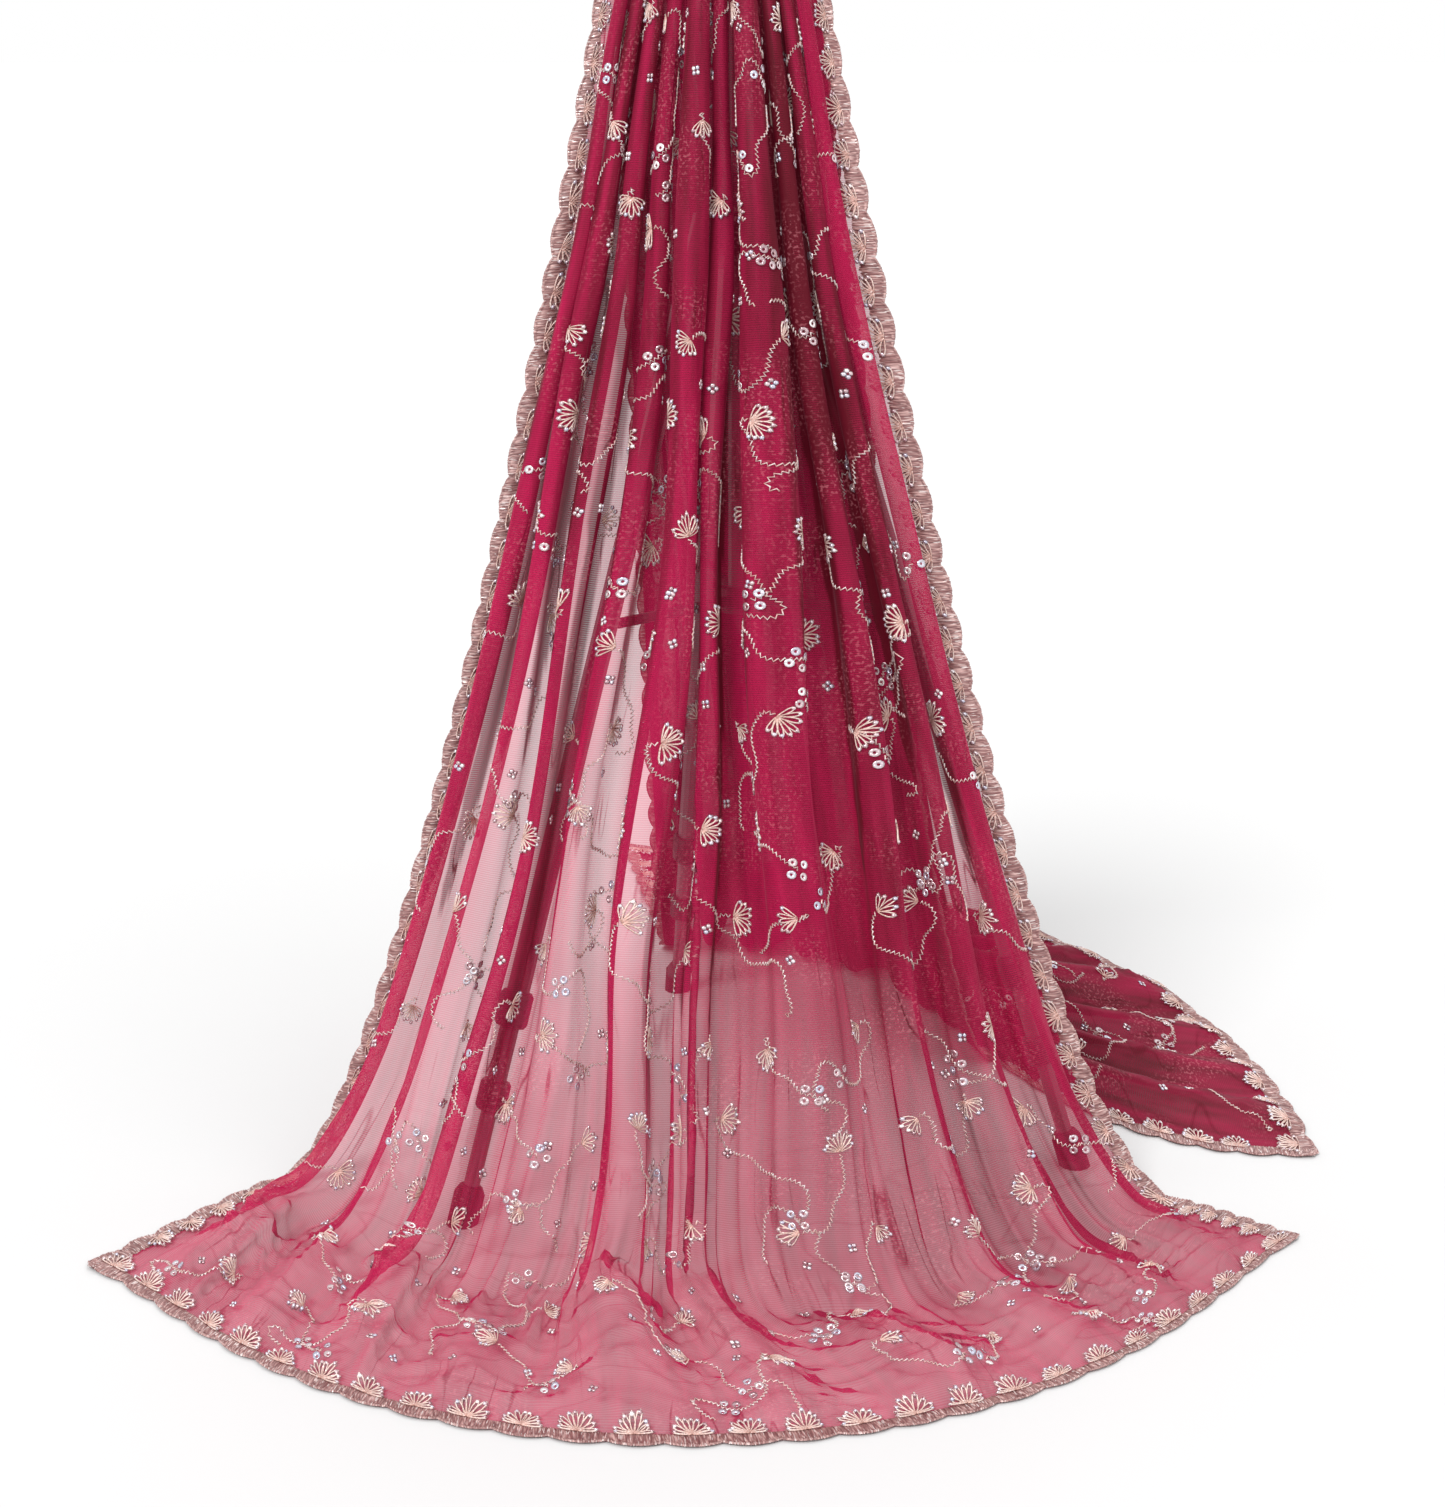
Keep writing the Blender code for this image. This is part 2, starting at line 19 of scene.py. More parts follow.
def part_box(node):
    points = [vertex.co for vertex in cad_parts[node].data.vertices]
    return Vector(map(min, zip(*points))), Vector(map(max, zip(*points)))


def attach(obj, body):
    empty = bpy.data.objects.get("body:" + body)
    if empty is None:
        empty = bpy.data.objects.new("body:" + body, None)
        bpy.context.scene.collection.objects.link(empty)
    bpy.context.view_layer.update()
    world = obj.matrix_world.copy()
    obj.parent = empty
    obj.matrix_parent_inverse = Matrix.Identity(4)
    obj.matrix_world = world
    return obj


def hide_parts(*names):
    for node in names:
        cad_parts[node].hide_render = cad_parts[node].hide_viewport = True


bl_info = {
    "name": "Draped dupatta stole",
    "version": (1, 0, 0),
    "blender": (4, 5, 0),
    "location": "View3D > Sidebar > Dupatta",
    "description": "Dresses the draped stole and its stand, and lights them",
    "category": "Object",
}

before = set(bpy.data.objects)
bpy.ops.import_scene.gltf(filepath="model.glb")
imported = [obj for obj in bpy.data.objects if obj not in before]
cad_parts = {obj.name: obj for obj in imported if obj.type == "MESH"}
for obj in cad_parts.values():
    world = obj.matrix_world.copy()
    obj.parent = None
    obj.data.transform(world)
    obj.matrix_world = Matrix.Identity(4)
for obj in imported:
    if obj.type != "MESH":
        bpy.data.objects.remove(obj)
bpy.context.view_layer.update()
BODY = "root"
STAND_CENTRE = (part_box("column_upper")[0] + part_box("column_upper")[1]) / 2
STAND_X = STAND_CENTRE.x
STAND_Y = STAND_CENTRE.y

# The cut and the drape, in the sizes of the solids
CUT_WIDTH = 1.000
FRONT_LENGTH = 1.135
BACK_LENGTH = 1.240
WALL = 0.0012
SCALLOP_DEPTH = 0.0045
SCALLOP_POWER = 0.7
SIDE_SCALLOP_PITCH = 0.031
HEM_SCALLOPS = 28
BAR_HEIGHT = 0.890
BAR_RADIUS = 0.011
FAN_X = -0.030
FAN_Y = -0.020
GATHER_X = -0.020
GATHER_HALF = 0.072
BAR_CLEARANCE = 0.00035
CREST_STEPS = 2
CREST_TURN = math.radians(80.0)
FLOOR_LIFT = 0.0008
FRONT_CONTACT = 0.850
BACK_CONTACT = 0.780
FRONT_FALL_POWER = 1.6
BACK_FALL_POWER = 1.5
FRONT_FALL_SPAN = 0.27
BACK_FALL_SPAN = 0.33
FLOOR_EASE = 0.12
BACK_BOW = (-0.029, -0.100)
PRESS_AT_BAR = 0.50
PRESS_BELOW = 0.85
PRESS_REACH = 0.12
TIGHTEST_SWING = 2.02
HOLD_STRENGTH = 0.45
HOLD_PLACES = (0.30, 0.68, 0.80, 0.96)

# Across the cut: each stretch's share of the width, and how far it stays shut near the floor
FOLDS = (
    (0.025, 0.0),  # left edge
    (0.085, 0.3),  # first pleat
    (0.085, -0.3),  # second pleat
    (0.090, 0.9),  # third pleat
    (0.090, -0.5),  # fourth pleat
    (0.130, 0.8),  # wide left pleat
    (0.085, 0.5),  # middle pleat
    (0.140, -0.5),  # wide right pleat
    (0.085, 0.1),  # eighth pleat
    (0.080, -0.2),  # ninth pleat
    (0.080, 0.2),  # last pleat
    (0.025, 0.0),  # right edge
)
EDGE_STRETCHES = (0, len(FOLDS) - 1)

# Fineness of the tables and of the steps that slopes are taken over
STEPS_PER_STRETCH = 48
FALL_TABLE_STEPS = 200
FALL_TABLE_POWER = 1.6
ROW_POINTS = 41
SLOPE_SIDE = 0.004
SLOPE_ALONG = 0.002
LEAST_FOLDED = 0.01

# Rows of the net, front hem first: where a stretch ends, and how many rows it has
NET_EDGE = 0.494
NET_COLUMNS = 400
ROW_STRETCHES = (
    (FRONT_LENGTH - 0.006, 1),  # front hem
    (0.870, 70),  # front spread
    (0.060, 60),  # front fall
    (0.019, 5),  # front shoulder
    (-0.019, 10),  # over the bar
    (-0.060, 5),  # back shoulder
    (-0.880, 44),  # back fall
    (-(BACK_LENGTH - 0.006), 44),  # back spread
)

# How far the net stays above the lowest that the cloth may lie, and through how many surfaces light passes
NET_CLEARANCE = 0.0003
NET_LAYERS_SEEN = 14

# How far the pleats wander to the sides, as a share of half the drape's width
WANDER = 0.022

# Each long edge of the front turns a little towards the viewer, and the pleat beside it is drawn in
EDGE_FORWARD = 0.020
EDGE_FORWARD_WIDTH = 0.030
EDGE_PLEAT_IN = 0.007
EDGE_PLEAT_PLACES = (0.025, 0.080, 0.160)

# Painted shade: how much one layer, each layer more and the valley between two pleats deepen the net's colour
LAYER_SHADE = 0.10
NEXT_LAYER_SHADE = 0.21
VALLEY_SHADE = 0.26

# The back half is coloured deeper than the front one, a painted shade: its shade, what each layer adds, and
# its closer cover
BACK_PAINTED_SHADE = 0.71
BACK_PAINTED_LAYER_SHADE = 0.25
BACK_COVER = 0.12

# Slow swells across the falls: how many, how far and how fast they sway, how they slip, and their height
SWELLS = ((23, 0.6, 5.0, 9.0, 0.0010), (41, -0.9, 3.1, -13.0, 0.0008))

# Small shapes: whether they are on the front half, how many pinches and how many wrinkles
SMALL_SHAPES = ((True, 52, 210), (False, 30, 120))
PINCH_SEED = 11
WRINKLE_SEED = 23

# The net's material: the wave texture's bands to a metre, and how much the streaks change the colour
WAVE_UNIT = 20
STREAK_WEIGHT = 0.60

# The field of fans: its width, what its ends leave free, and how much closer its rows lie than its columns
FIELD_WIDTH = 0.90
FIELD_ENDS = 0.095
FIELD_START = 0.045
ROW_SQUEEZE = 0.92
FAN_SIDE_LIMIT = 0.448
FAN_HEM_CLEAR = 0.048

# How often a fan is a bud, a vine ends in sequins or runs on, and a small flower stands beside it
BUD_CHANCE = 0.22
CLUSTER_CHANCE = 0.85
ONWARD_CHANCE = 0.62
FLOWER_CHANCE = 0.75
FLOWER_CLEAR = 0.021

# The border's fans, and where a clear bead sits along a petal
EDGE_FAN_IN = 0.0125
CORNER_CLEAR = 0.014
BEAD_PLACE = 0.90

# Steps round a looped stitch and a sequin
ROUND_STEPS = 10

# Sequins: the film's thickness, a cup's depth and hole, and how far they stand from the middle of a group
FILM = 0.00018
CUP_DEPTH = 0.0009
CUP_HOLE_SHARE = 0.30
CLUSTER_REACH = 0.0060
FLOWER_REACH = 0.0022

# One satin stitch: how high it stands, how deep the dip beside it is, and how uneven both are
STITCH_RISE = 0.00024
STITCH_DIP = 0.00022
STITCH_JITTER = 0.00022


def eased(value, low, high):
    share = np.clip((value - low) / (high - low), 0.0, 1.0)
    return share * share * (3.0 - 2.0 * share)


# How wide a pleat of a given swing stands, as a share of its cloth: the mean of cos(swing * sin(turn))
SWING_TABLE = np.linspace(0.0, TIGHTEST_SWING, 120)
TURN_TABLE = np.linspace(0.0, math.pi, 181)[:-1] + math.pi / 360
OPEN_TABLE = np.mean(np.cos(SWING_TABLE[:, None] * np.sin(TURN_TABLE)), axis=1)

FOLD_SHARES = np.array([share for share, _ in FOLDS])
FOLD_HOLDS = np.array([hold for _, hold in FOLDS])
FOLD_STARTS = np.concatenate(([0.0], np.cumsum(FOLD_SHARES)))
IS_PLEAT = np.array([i not in EDGE_STRETCHES for i in range(len(FOLDS))])
CUT_SHARES = np.concatenate(
    [
        np.linspace(low, high, STEPS_PER_STRETCH, endpoint=False)
        for low, high in zip(FOLD_STARTS[:-1], FOLD_STARTS[1:])
    ]
    + [[1.0]]
)
STRETCH_OF = np.clip(np.searchsorted(FOLD_STARTS, CUT_SHARES, side="right") - 1, 0, len(FOLDS) - 1)
TURN_OF = 2 * math.pi * (CUT_SHARES - FOLD_STARTS[STRETCH_OF]) / FOLD_SHARES[STRETCH_OF]


def quadratic(start, middle, end, share):
    return start * (1 - share) ** 2 + 2 * middle * share * (1 - share) + end * share**2


def contact_line(front, side):
    """Where the cloth meets the floor; side runs from -1 at the left edge to 1 at the right."""
    if front:
        reach = 0.280 + np.where(side < 0, -0.060 * side, 0.100 * side)
        angle = np.radians(-1.5 + 72.5 * side)
        return FAN_X + reach * np.sin(angle), FAN_Y - reach * np.cos(angle)
    share = (side + 1) / 2
    return quadratic(-0.071, 0.130, 0.215, share), quadratic(0.375, 0.400, 0.100, share)


def hem_line(front, side):
    if front:
        reach = 0.447 - 0.008 * side + 0.028 * np.abs(side) ** 9
        angle = np.radians(2.3 + 64.8 * side)
        return FAN_X + reach * np.sin(angle), FAN_Y - reach * np.cos(angle)
    share = (side + 1) / 2
    return quadratic(-0.120, 0.460, 0.443, share), quadratic(0.660, 0.448, -0.075, share)


def drop(way, power):
    """The height left, as a share of the bar's, at a share of the way out; it eases on to the floor."""
    left = 1 - way
    return left**power * (1 - np.exp(-left / FLOOR_EASE)) / (1 - math.exp(-1 / FLOOR_EASE))


def fall_table(power, span):
    """The share of the horizontal way for each share of the hanging length, closest together at the floor."""
    way = 1 - np.linspace(1.0, 0.0, FALL_TABLE_STEPS) ** FALL_TABLE_POWER
    steps = np.hypot(np.diff(way) * span, np.diff(drop(way, power)) * BAR_HEIGHT)
    length = np.concatenate(([0.0], np.cumsum(steps)))
    return length / length[-1], way


CREST_RADIUS = (BAR_RADIUS + BAR_CLEARANCE + WALL / 2) / math.cos(CREST_TURN / CREST_STEPS / 2)
FRONT_FALL = fall_table(FRONT_FALL_POWER, FRONT_FALL_SPAN)
BACK_FALL = fall_table(BACK_FALL_POWER, BACK_FALL_SPAN)


def base(front, side, share):
    """The smooth surface under the pleats, for arrays of the same shape, round the stand's centre."""
    length = FRONT_LENGTH if front else BACK_LENGTH
    contact = FRONT_CONTACT if front else BACK_CONTACT
    power = FRONT_FALL_POWER if front else BACK_FALL_POWER
    toward = -1.0 if front else 1.0
    crest = CREST_RADIUS * CREST_TURN / length
    gather_x = GATHER_X + GATHER_HALF * side
    contact_x, contact_y = contact_line(front, side)
    hem_x, hem_y = hem_line(front, side)
    turn = np.clip(share / crest, 0, 1) * CREST_TURN
    start_y = toward * CREST_RADIUS * np.sin(turn)
    start_z = BAR_HEIGHT + CREST_RADIUS * np.cos(turn)
    hanging = np.clip((share - crest) / (contact - crest), 0, 1)
    way = np.interp(hanging, *(FRONT_FALL if front else BACK_FALL))
    x = gather_x + (contact_x - gather_x) * way
    y = start_y + (contact_y - start_y) * way
    z = FLOOR_LIFT + WALL / 2 + (start_z - FLOOR_LIFT - WALL / 2) * drop(way, power)
    lying = np.maximum((share - contact) / (1 - contact), 0)
    x = x + (hem_x - contact_x) * lying
    y = y + (hem_y - contact_y) * lying
    if not front:
        bow = 2 * lying * np.clip(1 - lying, 0, 1) * np.clip(side, 0, 1) ** 2
        x = x + BACK_BOW[0] * bow
        y = y + BACK_BOW[1] * bow
    return np.stack((x, y, z), -1)


def base_normal(front, side, share):
    across = base(front, side + SLOPE_SIDE, share) - base(front, side - SLOPE_SIDE, share)
    down = base(front, side, share + SLOPE_ALONG) - base(front, side, np.maximum(share - SLOPE_ALONG, 0))
    normal = np.cross(down, across) if front else np.cross(across, down)
    return normal / np.linalg.norm(normal, axis=-1, keepdims=True)


def section(front, share):
    """How far across the smooth surface, and how far out of it, each share of the cut lies in one row."""
    sides = np.linspace(-1, 1, ROW_POINTS)
    row = base(front, sides, np.full(sides.shape, share))
    width = np.linalg.norm(np.diff(row, axis=0), axis=1).sum()
    start, full, fade, gone = HOLD_PLACES
    hold = HOLD_STRENGTH * eased(share, start, full) * (1 - eased(share, fade, gone))
    weight = 1 - hold * FOLD_HOLDS
    flat = FOLD_SHARES[~IS_PLEAT].sum()
    folded = FOLD_SHARES * IS_PLEAT
    openness = max(width / CUT_WIDTH - flat, LEAST_FOLDED) / (folded * weight).sum() * weight
    swing = np.interp(-np.clip(openness, OPEN_TABLE[-1], 1.0), -OPEN_TABLE, SWING_TABLE) * IS_PLEAT
    angle = swing[STRETCH_OF] * np.sin(TURN_OF)
    step = np.diff(CUT_SHARES) * CUT_WIDTH
    across = np.concatenate(([0.0], np.cumsum(step * (np.cos(angle[1:]) + np.cos(angle[:-1])) / 2)))
    rise = np.concatenate(([0.0], np.cumsum(step * (np.sin(angle[1:]) + np.sin(angle[:-1])) / 2)))
    scale = width / across[-1]
    length = FRONT_LENGTH if front else BACK_LENGTH
    press = PRESS_AT_BAR + (PRESS_BELOW - PRESS_AT_BAR) * eased(share * length, 0.0, PRESS_REACH)
    return 2 * across / across[-1] - 1, rise * scale * press


def drape_row(across, along):
    """Points of the cloth at one distance along the cut, and a painted shade for its layers and pleat
    valleys.
    """
    front = along >= 0
    share = along / FRONT_LENGTH if front else -along / BACK_LENGTH
    sides, rises = section(front, share)
    shares = across / CUT_WIDTH + 0.5
    side = np.interp(shares, CUT_SHARES, sides)
    rise = np.interp(shares, CUT_SHARES, rises)
    free = eased(share, 0.06, 0.30) * (1 - eased(share, 0.62, 0.86)) * (1 - side**2)
    wave = np.sin(5.1 * side + 9.0 * share + 0.4) + np.sin(9.7 * side - 13.0 * share + 2.0)
    side = side + free * WANDER * wave
    place = np.full(side.shape, share)
    outward = base_normal(front, side, place)
    points = base(front, side, place) + rise[:, None] * outward
    if front:
        hanging = eased(share, 0.05, 0.22) * (1 - eased(share, 0.70, 0.90))
        edge = CUT_WIDTH / 2 - np.abs(across)
        points[:, 1] -= EDGE_FORWARD * hanging * (1 - eased(edge, 0.0, EDGE_FORWARD_WIDTH))
        full, fade, gone = EDGE_PLEAT_PLACES
        drawn_in = eased(edge, 0.0, full) * (1 - eased(edge, fade, gone))
        points[:, 0] -= np.sign(across) * EDGE_PLEAT_IN * hanging * drawn_in
    low = np.minimum(sides[1:], sides[:-1])
    high = np.maximum(sides[1:], sides[:-1])
    spot = np.interp(shares, CUT_SHARES, sides)[:, None]
    layers = ((low <= spot) & (spot < high)).sum(axis=1)
    valley = (rises.max() - rise) / max(np.ptp(rises), 1e-6)
    # The shade is painted: deeper where layers lie together and in the valleys between pleats
    shade = LAYER_SHADE + NEXT_LAYER_SHADE * (np.maximum(layers, 1) - 1)
    return points, np.clip(shade + VALLEY_SHADE * valley * (layers > 1), 0, 1)


def half_sizes(front):
    """One half's length from the crest to its hem, and how far down it meets the floor."""
    length = FRONT_LENGTH if front else BACK_LENGTH
    return length, length * (FRONT_CONTACT if front else BACK_CONTACT)


def pinches(front, count):
    """Narrow folds that run down the fall and flatten out towards the hem."""
    rng = random.Random(PINCH_SEED + front)
    length, contact = half_sizes(front)
    made = []
    for number in range(count):
        centre = -0.47 + 0.94 * ((number * 0.618034 + 0.31) % 1.0)
        start = contact - rng.uniform(0.08, 0.42)
        end = contact + rng.uniform(0.12, 1.0) ** 1.5 * (length - contact) * 0.94
        rise = rng.uniform(0.0022, 0.0090)
        made.append((centre, start, end, rise, rng.uniform(0.0026, 0.0044), rng.uniform(-0.10, 0.10)))
    return made


def wrinkles(front, count):
    """Short soft ridges on the floor, mostly level with the hem."""
    rng = random.Random(WRINKLE_SEED + front)
    length, contact = half_sizes(front)
    made = []
    for _ in range(count):
        place = rng.uniform(contact + 0.01, length - 0.022)
        centre = rng.uniform(-0.47, 0.47)
        half = rng.uniform(0.012, 0.055)
        width = rng.uniform(0.0026, 0.0046)
        rise = rng.uniform(0.0012, 0.0040)
        made.append((centre, place, half, width, rise, math.radians(rng.gauss(0, 30))))
    return made


def surface_relief(across, along, height):
    """How far the net stands out of the pleated drape, for grids of places on the cut."""
    relief = np.zeros(across.shape)
    for front, pinch_count, wrinkle_count in SMALL_SHAPES:
        contact = half_sizes(front)[1]
        place = along if front else -along
        mine = (along >= 0) if front else (along < 0)
        hanging = eased(place, 0.05, 0.30) * (1 - eased(place, contact - 0.05, contact + 0.02)) * mine
        for swells, sway, pace, slip, rise in SWELLS:
            turn = 2 * math.pi * (across * swells + sway * np.sin(place * pace)) + place * slip
            relief += hanging * rise * np.sin(turn)
        for centre, start, end, rise, width, slant in pinches(front, pinch_count):
            offset = across - centre - slant * (place - contact)
            envelope = eased(place, start, contact - 0.02) * (1 - eased(place, contact + 0.01, end))
            relief += mine * rise * envelope * np.exp(-((offset / width) ** 2))
        for centre, level, half, width, rise, turn in wrinkles(front, wrinkle_count):
            dx = across - centre
            dy = place - level
            run = dx * math.cos(turn) + dy * math.sin(turn)
            off = dy * math.cos(turn) - dx * math.sin(turn) - 0.10 * half * np.cos(run / half * 2.0)
            lies = eased(place, contact - 0.01, contact + 0.03) * mine
            relief += lies * rise * np.exp(-((off / width) ** 2)) * np.exp(-((run / half) ** 2))
    inside = eased(CUT_WIDTH / 2 - np.abs(across), 0.010, 0.045)
    inside = inside * eased(FRONT_LENGTH - along, 0.010, 0.045) * eased(BACK_LENGTH + along, 0.010, 0.045)
    return relief * height * inside


def net_shading(across, along, painted_fold_shade):
    """How deep the net's painted shade is, in folds, to the right and on the floor, and how much closer its
    cover is.
    """
    reach = np.abs(along)
    front = along > 0
    hanging = 1 - eased(reach, 0.74, 0.98)
    top = 1 - eased(reach, 0.30, 0.60)
    left = 1 - eased(across, -0.36, -0.26)
    right = eased(across, 0.34, 0.42)
    upper = 1 - eased(reach + left * 0.10, 0.40, 0.72)
    # Painted shade on the right side, away from the key light, strongest low on the fall
    painted_shade_right = eased(across, -0.08, 0.26)
    lower = 1 - eased(reach, 0.86, 1.06)
    # Painted shade that changes from pleat to pleat
    shade_from_pleat_to_pleat = np.sin(across * 47 + 1.3) * np.sin(across * 23 + along * 4)
    # Painted shade of the folds on the fall, and a set depth near the top
    front_painted_shade = np.maximum(hanging * painted_fold_shade, 0.38 * top)
    front_painted_shade = front_painted_shade + (0.10 + 0.30 * lower) * painted_shade_right + 0.20 * shade_from_pleat_to_pleat * hanging
    # The painted shade is lifted at the upper right edge, and deeper where the net lies on the floor
    front_painted_shade = front_painted_shade * (1 - 0.70 * right * upper) + 0.14 * eased(reach, 0.80, 1.02)
    # The back half takes a deeper painted shade than the front
    depth = np.where(front, front_painted_shade, BACK_PAINTED_SHADE + BACK_PAINTED_LAYER_SHADE * painted_fold_shade)
    cover = np.where(front, upper * (0.04 + 0.12 * left - 0.10 * right), BACK_COVER)
    return np.clip(depth, 0, 1), cover


def facing(points):
    """The side of the net that the embroidery is on, for a grid of points."""
    normal = np.cross(-np.gradient(points, axis=0), np.gradient(points, axis=1))
    return normal / np.maximum(np.linalg.norm(normal, axis=-1, keepdims=True), 1e-12)


class Cloth:
    """The draped cut as a grid, and places on it."""

    def __init__(self, height):
        inner = np.linspace(-NET_EDGE, NET_EDGE, NET_COLUMNS + 1)
        self.columns = np.concatenate(([-CUT_WIDTH / 2], inner, [CUT_WIDTH / 2]))
        rows = [FRONT_LENGTH]
        for end, count in ROW_STRETCHES:
            rows += list(np.linspace(rows[-1], end, count + 1)[1:])
        self.rows = np.array(rows + [-BACK_LENGTH])
        shifted = np.array((STAND_X, STAND_Y, 0.0))
        drawn = [drape_row(self.columns, float(row)) for row in self.rows]
        points = np.array([p for p, _ in drawn]) + shifted
        self.painted_fold_shade = np.array([shade for _, shade in drawn])
        across, along = np.meshgrid(self.columns, self.rows)
        normals = facing(points)
        points = points + normals * surface_relief(across, along, height)[..., None]
        points[..., 2] = np.maximum(points[..., 2], FLOOR_LIFT + NET_CLEARANCE)
        self.points = points
        self.normals = facing(points)

    def lay(self, places):
        """Turns (across, along, height over the net) into points of the frame."""
        across = np.clip(places[:, 0], self.columns[0], self.columns[-1])
        along = np.clip(places[:, 1], self.rows[-1], self.rows[0])
        i = np.clip(np.searchsorted(self.columns, across) - 1, 0, len(self.columns) - 2)
        j = np.clip(np.searchsorted(-self.rows, -along) - 1, 0, len(self.rows) - 2)
        a = ((across - self.columns[i]) / (self.columns[i + 1] - self.columns[i]))[:, None]
        b = ((along - self.rows[j]) / (self.rows[j + 1] - self.rows[j]))[:, None]

        def mixed(grid):
            near = grid[j, i] * (1 - a) + grid[j, i + 1] * a
            far = grid[j + 1, i] * (1 - a) + grid[j + 1, i + 1] * a
            return near * (1 - b) + far * b

        laid = mixed(self.points) + mixed(self.normals) * places[:, 2:3]
        laid[:, 2] = np.maximum(laid[:, 2], FLOOR_LIFT * 0.5)
        return laid


CLOTH = {}


def cloth():
    """The drape, worked out once."""
    if "grid" not in CLOTH:
        CLOTH["grid"] = Cloth(bpy.context.scene.dupatta.crease_height)
    return CLOTH["grid"]


# Shader helpers
def fill(tree, node, inputs):
    """Links a node's inputs to sockets, or sets them."""
    for key, value in inputs.items():
        if isinstance(value, bpy.types.NodeSocket):
            tree.links.new(value, node.inputs[key])
        else:
            node.inputs[key].default_value = value


def add_node(tree, kind, inputs=None, **settings):
    made = tree.nodes.new(kind)
    for name, value in settings.items():
        setattr(made, name, value)
    fill(tree, made, inputs or {})
    return made


def maths(tree, operation, first, second=0.0, third=0.0):
    return add_node(tree, "ShaderNodeMath", {0: first, 1: second, 2: third}, operation=operation).outputs[0]


def weighted(tree, start, parts):
    """The start, and each part times its weight."""
    for part, weight in parts:
        start = maths(tree, "MULTIPLY_ADD", part, weight, start)
    return start


def noise(tree, place, scale, detail):
    inputs = {"Vector": place, "Scale": scale, "Detail": detail}
    return add_node(tree, "ShaderNodeTexNoise", inputs).outputs[0]


def stretched(tree, value, low, high):
    """The value with low turned into 0 and high into 1."""
    return add_node(tree, "ShaderNodeMapRange", {0: value, 1: low, 2: high}).outputs[0]


def scaled_place(tree, place, scale):
    return add_node(tree, "ShaderNodeMapping", {"Vector": place, "Scale": scale}).outputs[0]


def own_value(tree, name):
    return add_node(tree, "ShaderNodeAttribute", attribute_name=name).outputs["Fac"]


def blend_colours(tree, share, first, second):
    return add_node(tree, "ShaderNodeMix", {0: share, 6: first, 7: second}, data_type="RGBA").outputs[2]


def graded(tree, share, stops):
    """Colours along a ramp; stops are (place, colour)."""
    made = add_node(tree, "ShaderNodeValToRGB", {0: share})
    ramp = made.color_ramp
    while len(ramp.elements) < len(stops):
        ramp.elements.new(0.5)
    for element, (place, colour) in zip(ramp.elements, stops):
        element.position = place
        element.color = rgba(colour)
    return made.outputs[0]


def bumped(tree, height, strength, distance):
    inputs = {"Strength": strength, "Distance": distance, "Height": height}
    return add_node(tree, "ShaderNodeBump", inputs).outputs[0]


def rgba(colour):
    return (*colour[:3], 1.0)


def new_material(name):
    made = bpy.data.materials.new(name)
    made.use_nodes = True
    return made, made.node_tree, made.node_tree.nodes["Principled BSDF"]


def new_group(name, inputs, outputs):
    """A node group with named sockets: the group, its given sockets and its output node."""
    tree = bpy.data.node_groups.new(name, "ShaderNodeTree")
    for label, kind, value in inputs:
        socket = tree.interface.new_socket(name=label, in_out="INPUT", socket_type="NodeSocket" + kind)
        if value is not None:
            socket.default_value = value
    for label, kind in outputs:
        tree.interface.new_socket(name=label, in_out="OUTPUT", socket_type="NodeSocket" + kind)
    return tree, tree.nodes.new("NodeGroupInput").outputs, tree.nodes.new("NodeGroupOutput")


def spun_strands():
    """A group: painted glints and the painted light and shade of twisted thread, read from the piece's own
    strand map.
    """
    name = "spun strands"
    if name in bpy.data.node_groups:
        return bpy.data.node_groups[name]
    tree, given, put_out = new_group(
        name,
        (
            ("Map", "Vector", None),
            ("Twists", "Float", 40.0),
            ("Dark", "Color", (0.3, 0.1, 0.1, 1.0)),
            ("Light", "Color", (0.9, 0.7, 0.6, 1.0)),
            ("Relief", "Float", 0.4),
        ),
        (("Colour", "Color"), ("Gloss", "Float"), ("Height", "Float")),
    )
    wave = add_node(
        tree,
        "ShaderNodeTexWave",
        {"Vector": given["Map"], "Scale": given["Twists"], "Distortion": 2.5, "Detail": 1.0},
        bands_direction="DIAGONAL",
    ).outputs["Fac"]
    fleck = noise(tree, given["Map"], 900.0, 1.0)
    mottle = noise(tree, given["Map"], 110.0, 2.0)
    # The twist and mottle blend the thread's colour in shade into its colour in light, a painted light and
    # shade
    share = maths(tree, "MULTIPLY_ADD", wave, 0.35, maths(tree, "MULTIPLY", mottle, 0.75))
    colour = blend_colours(tree, share, given["Dark"], given["Light"])
    # Bright flecks are whitened as painted glints, with a lower roughness there
    bright = maths(tree, "GREATER_THAN", fleck, 0.62)
    colour = blend_colours(tree, maths(tree, "MULTIPLY", bright, 0.55), colour, (1.0, 0.93, 0.90, 1.0))
    gloss = maths(tree, "MULTIPLY_ADD", bright, -0.22, 0.48)
    height = maths(tree, "MULTIPLY", maths(tree, "ADD", wave, mottle), given["Relief"])
    fill(tree, put_out, {"Colour": colour, "Gloss": gloss, "Height": height})
    return tree


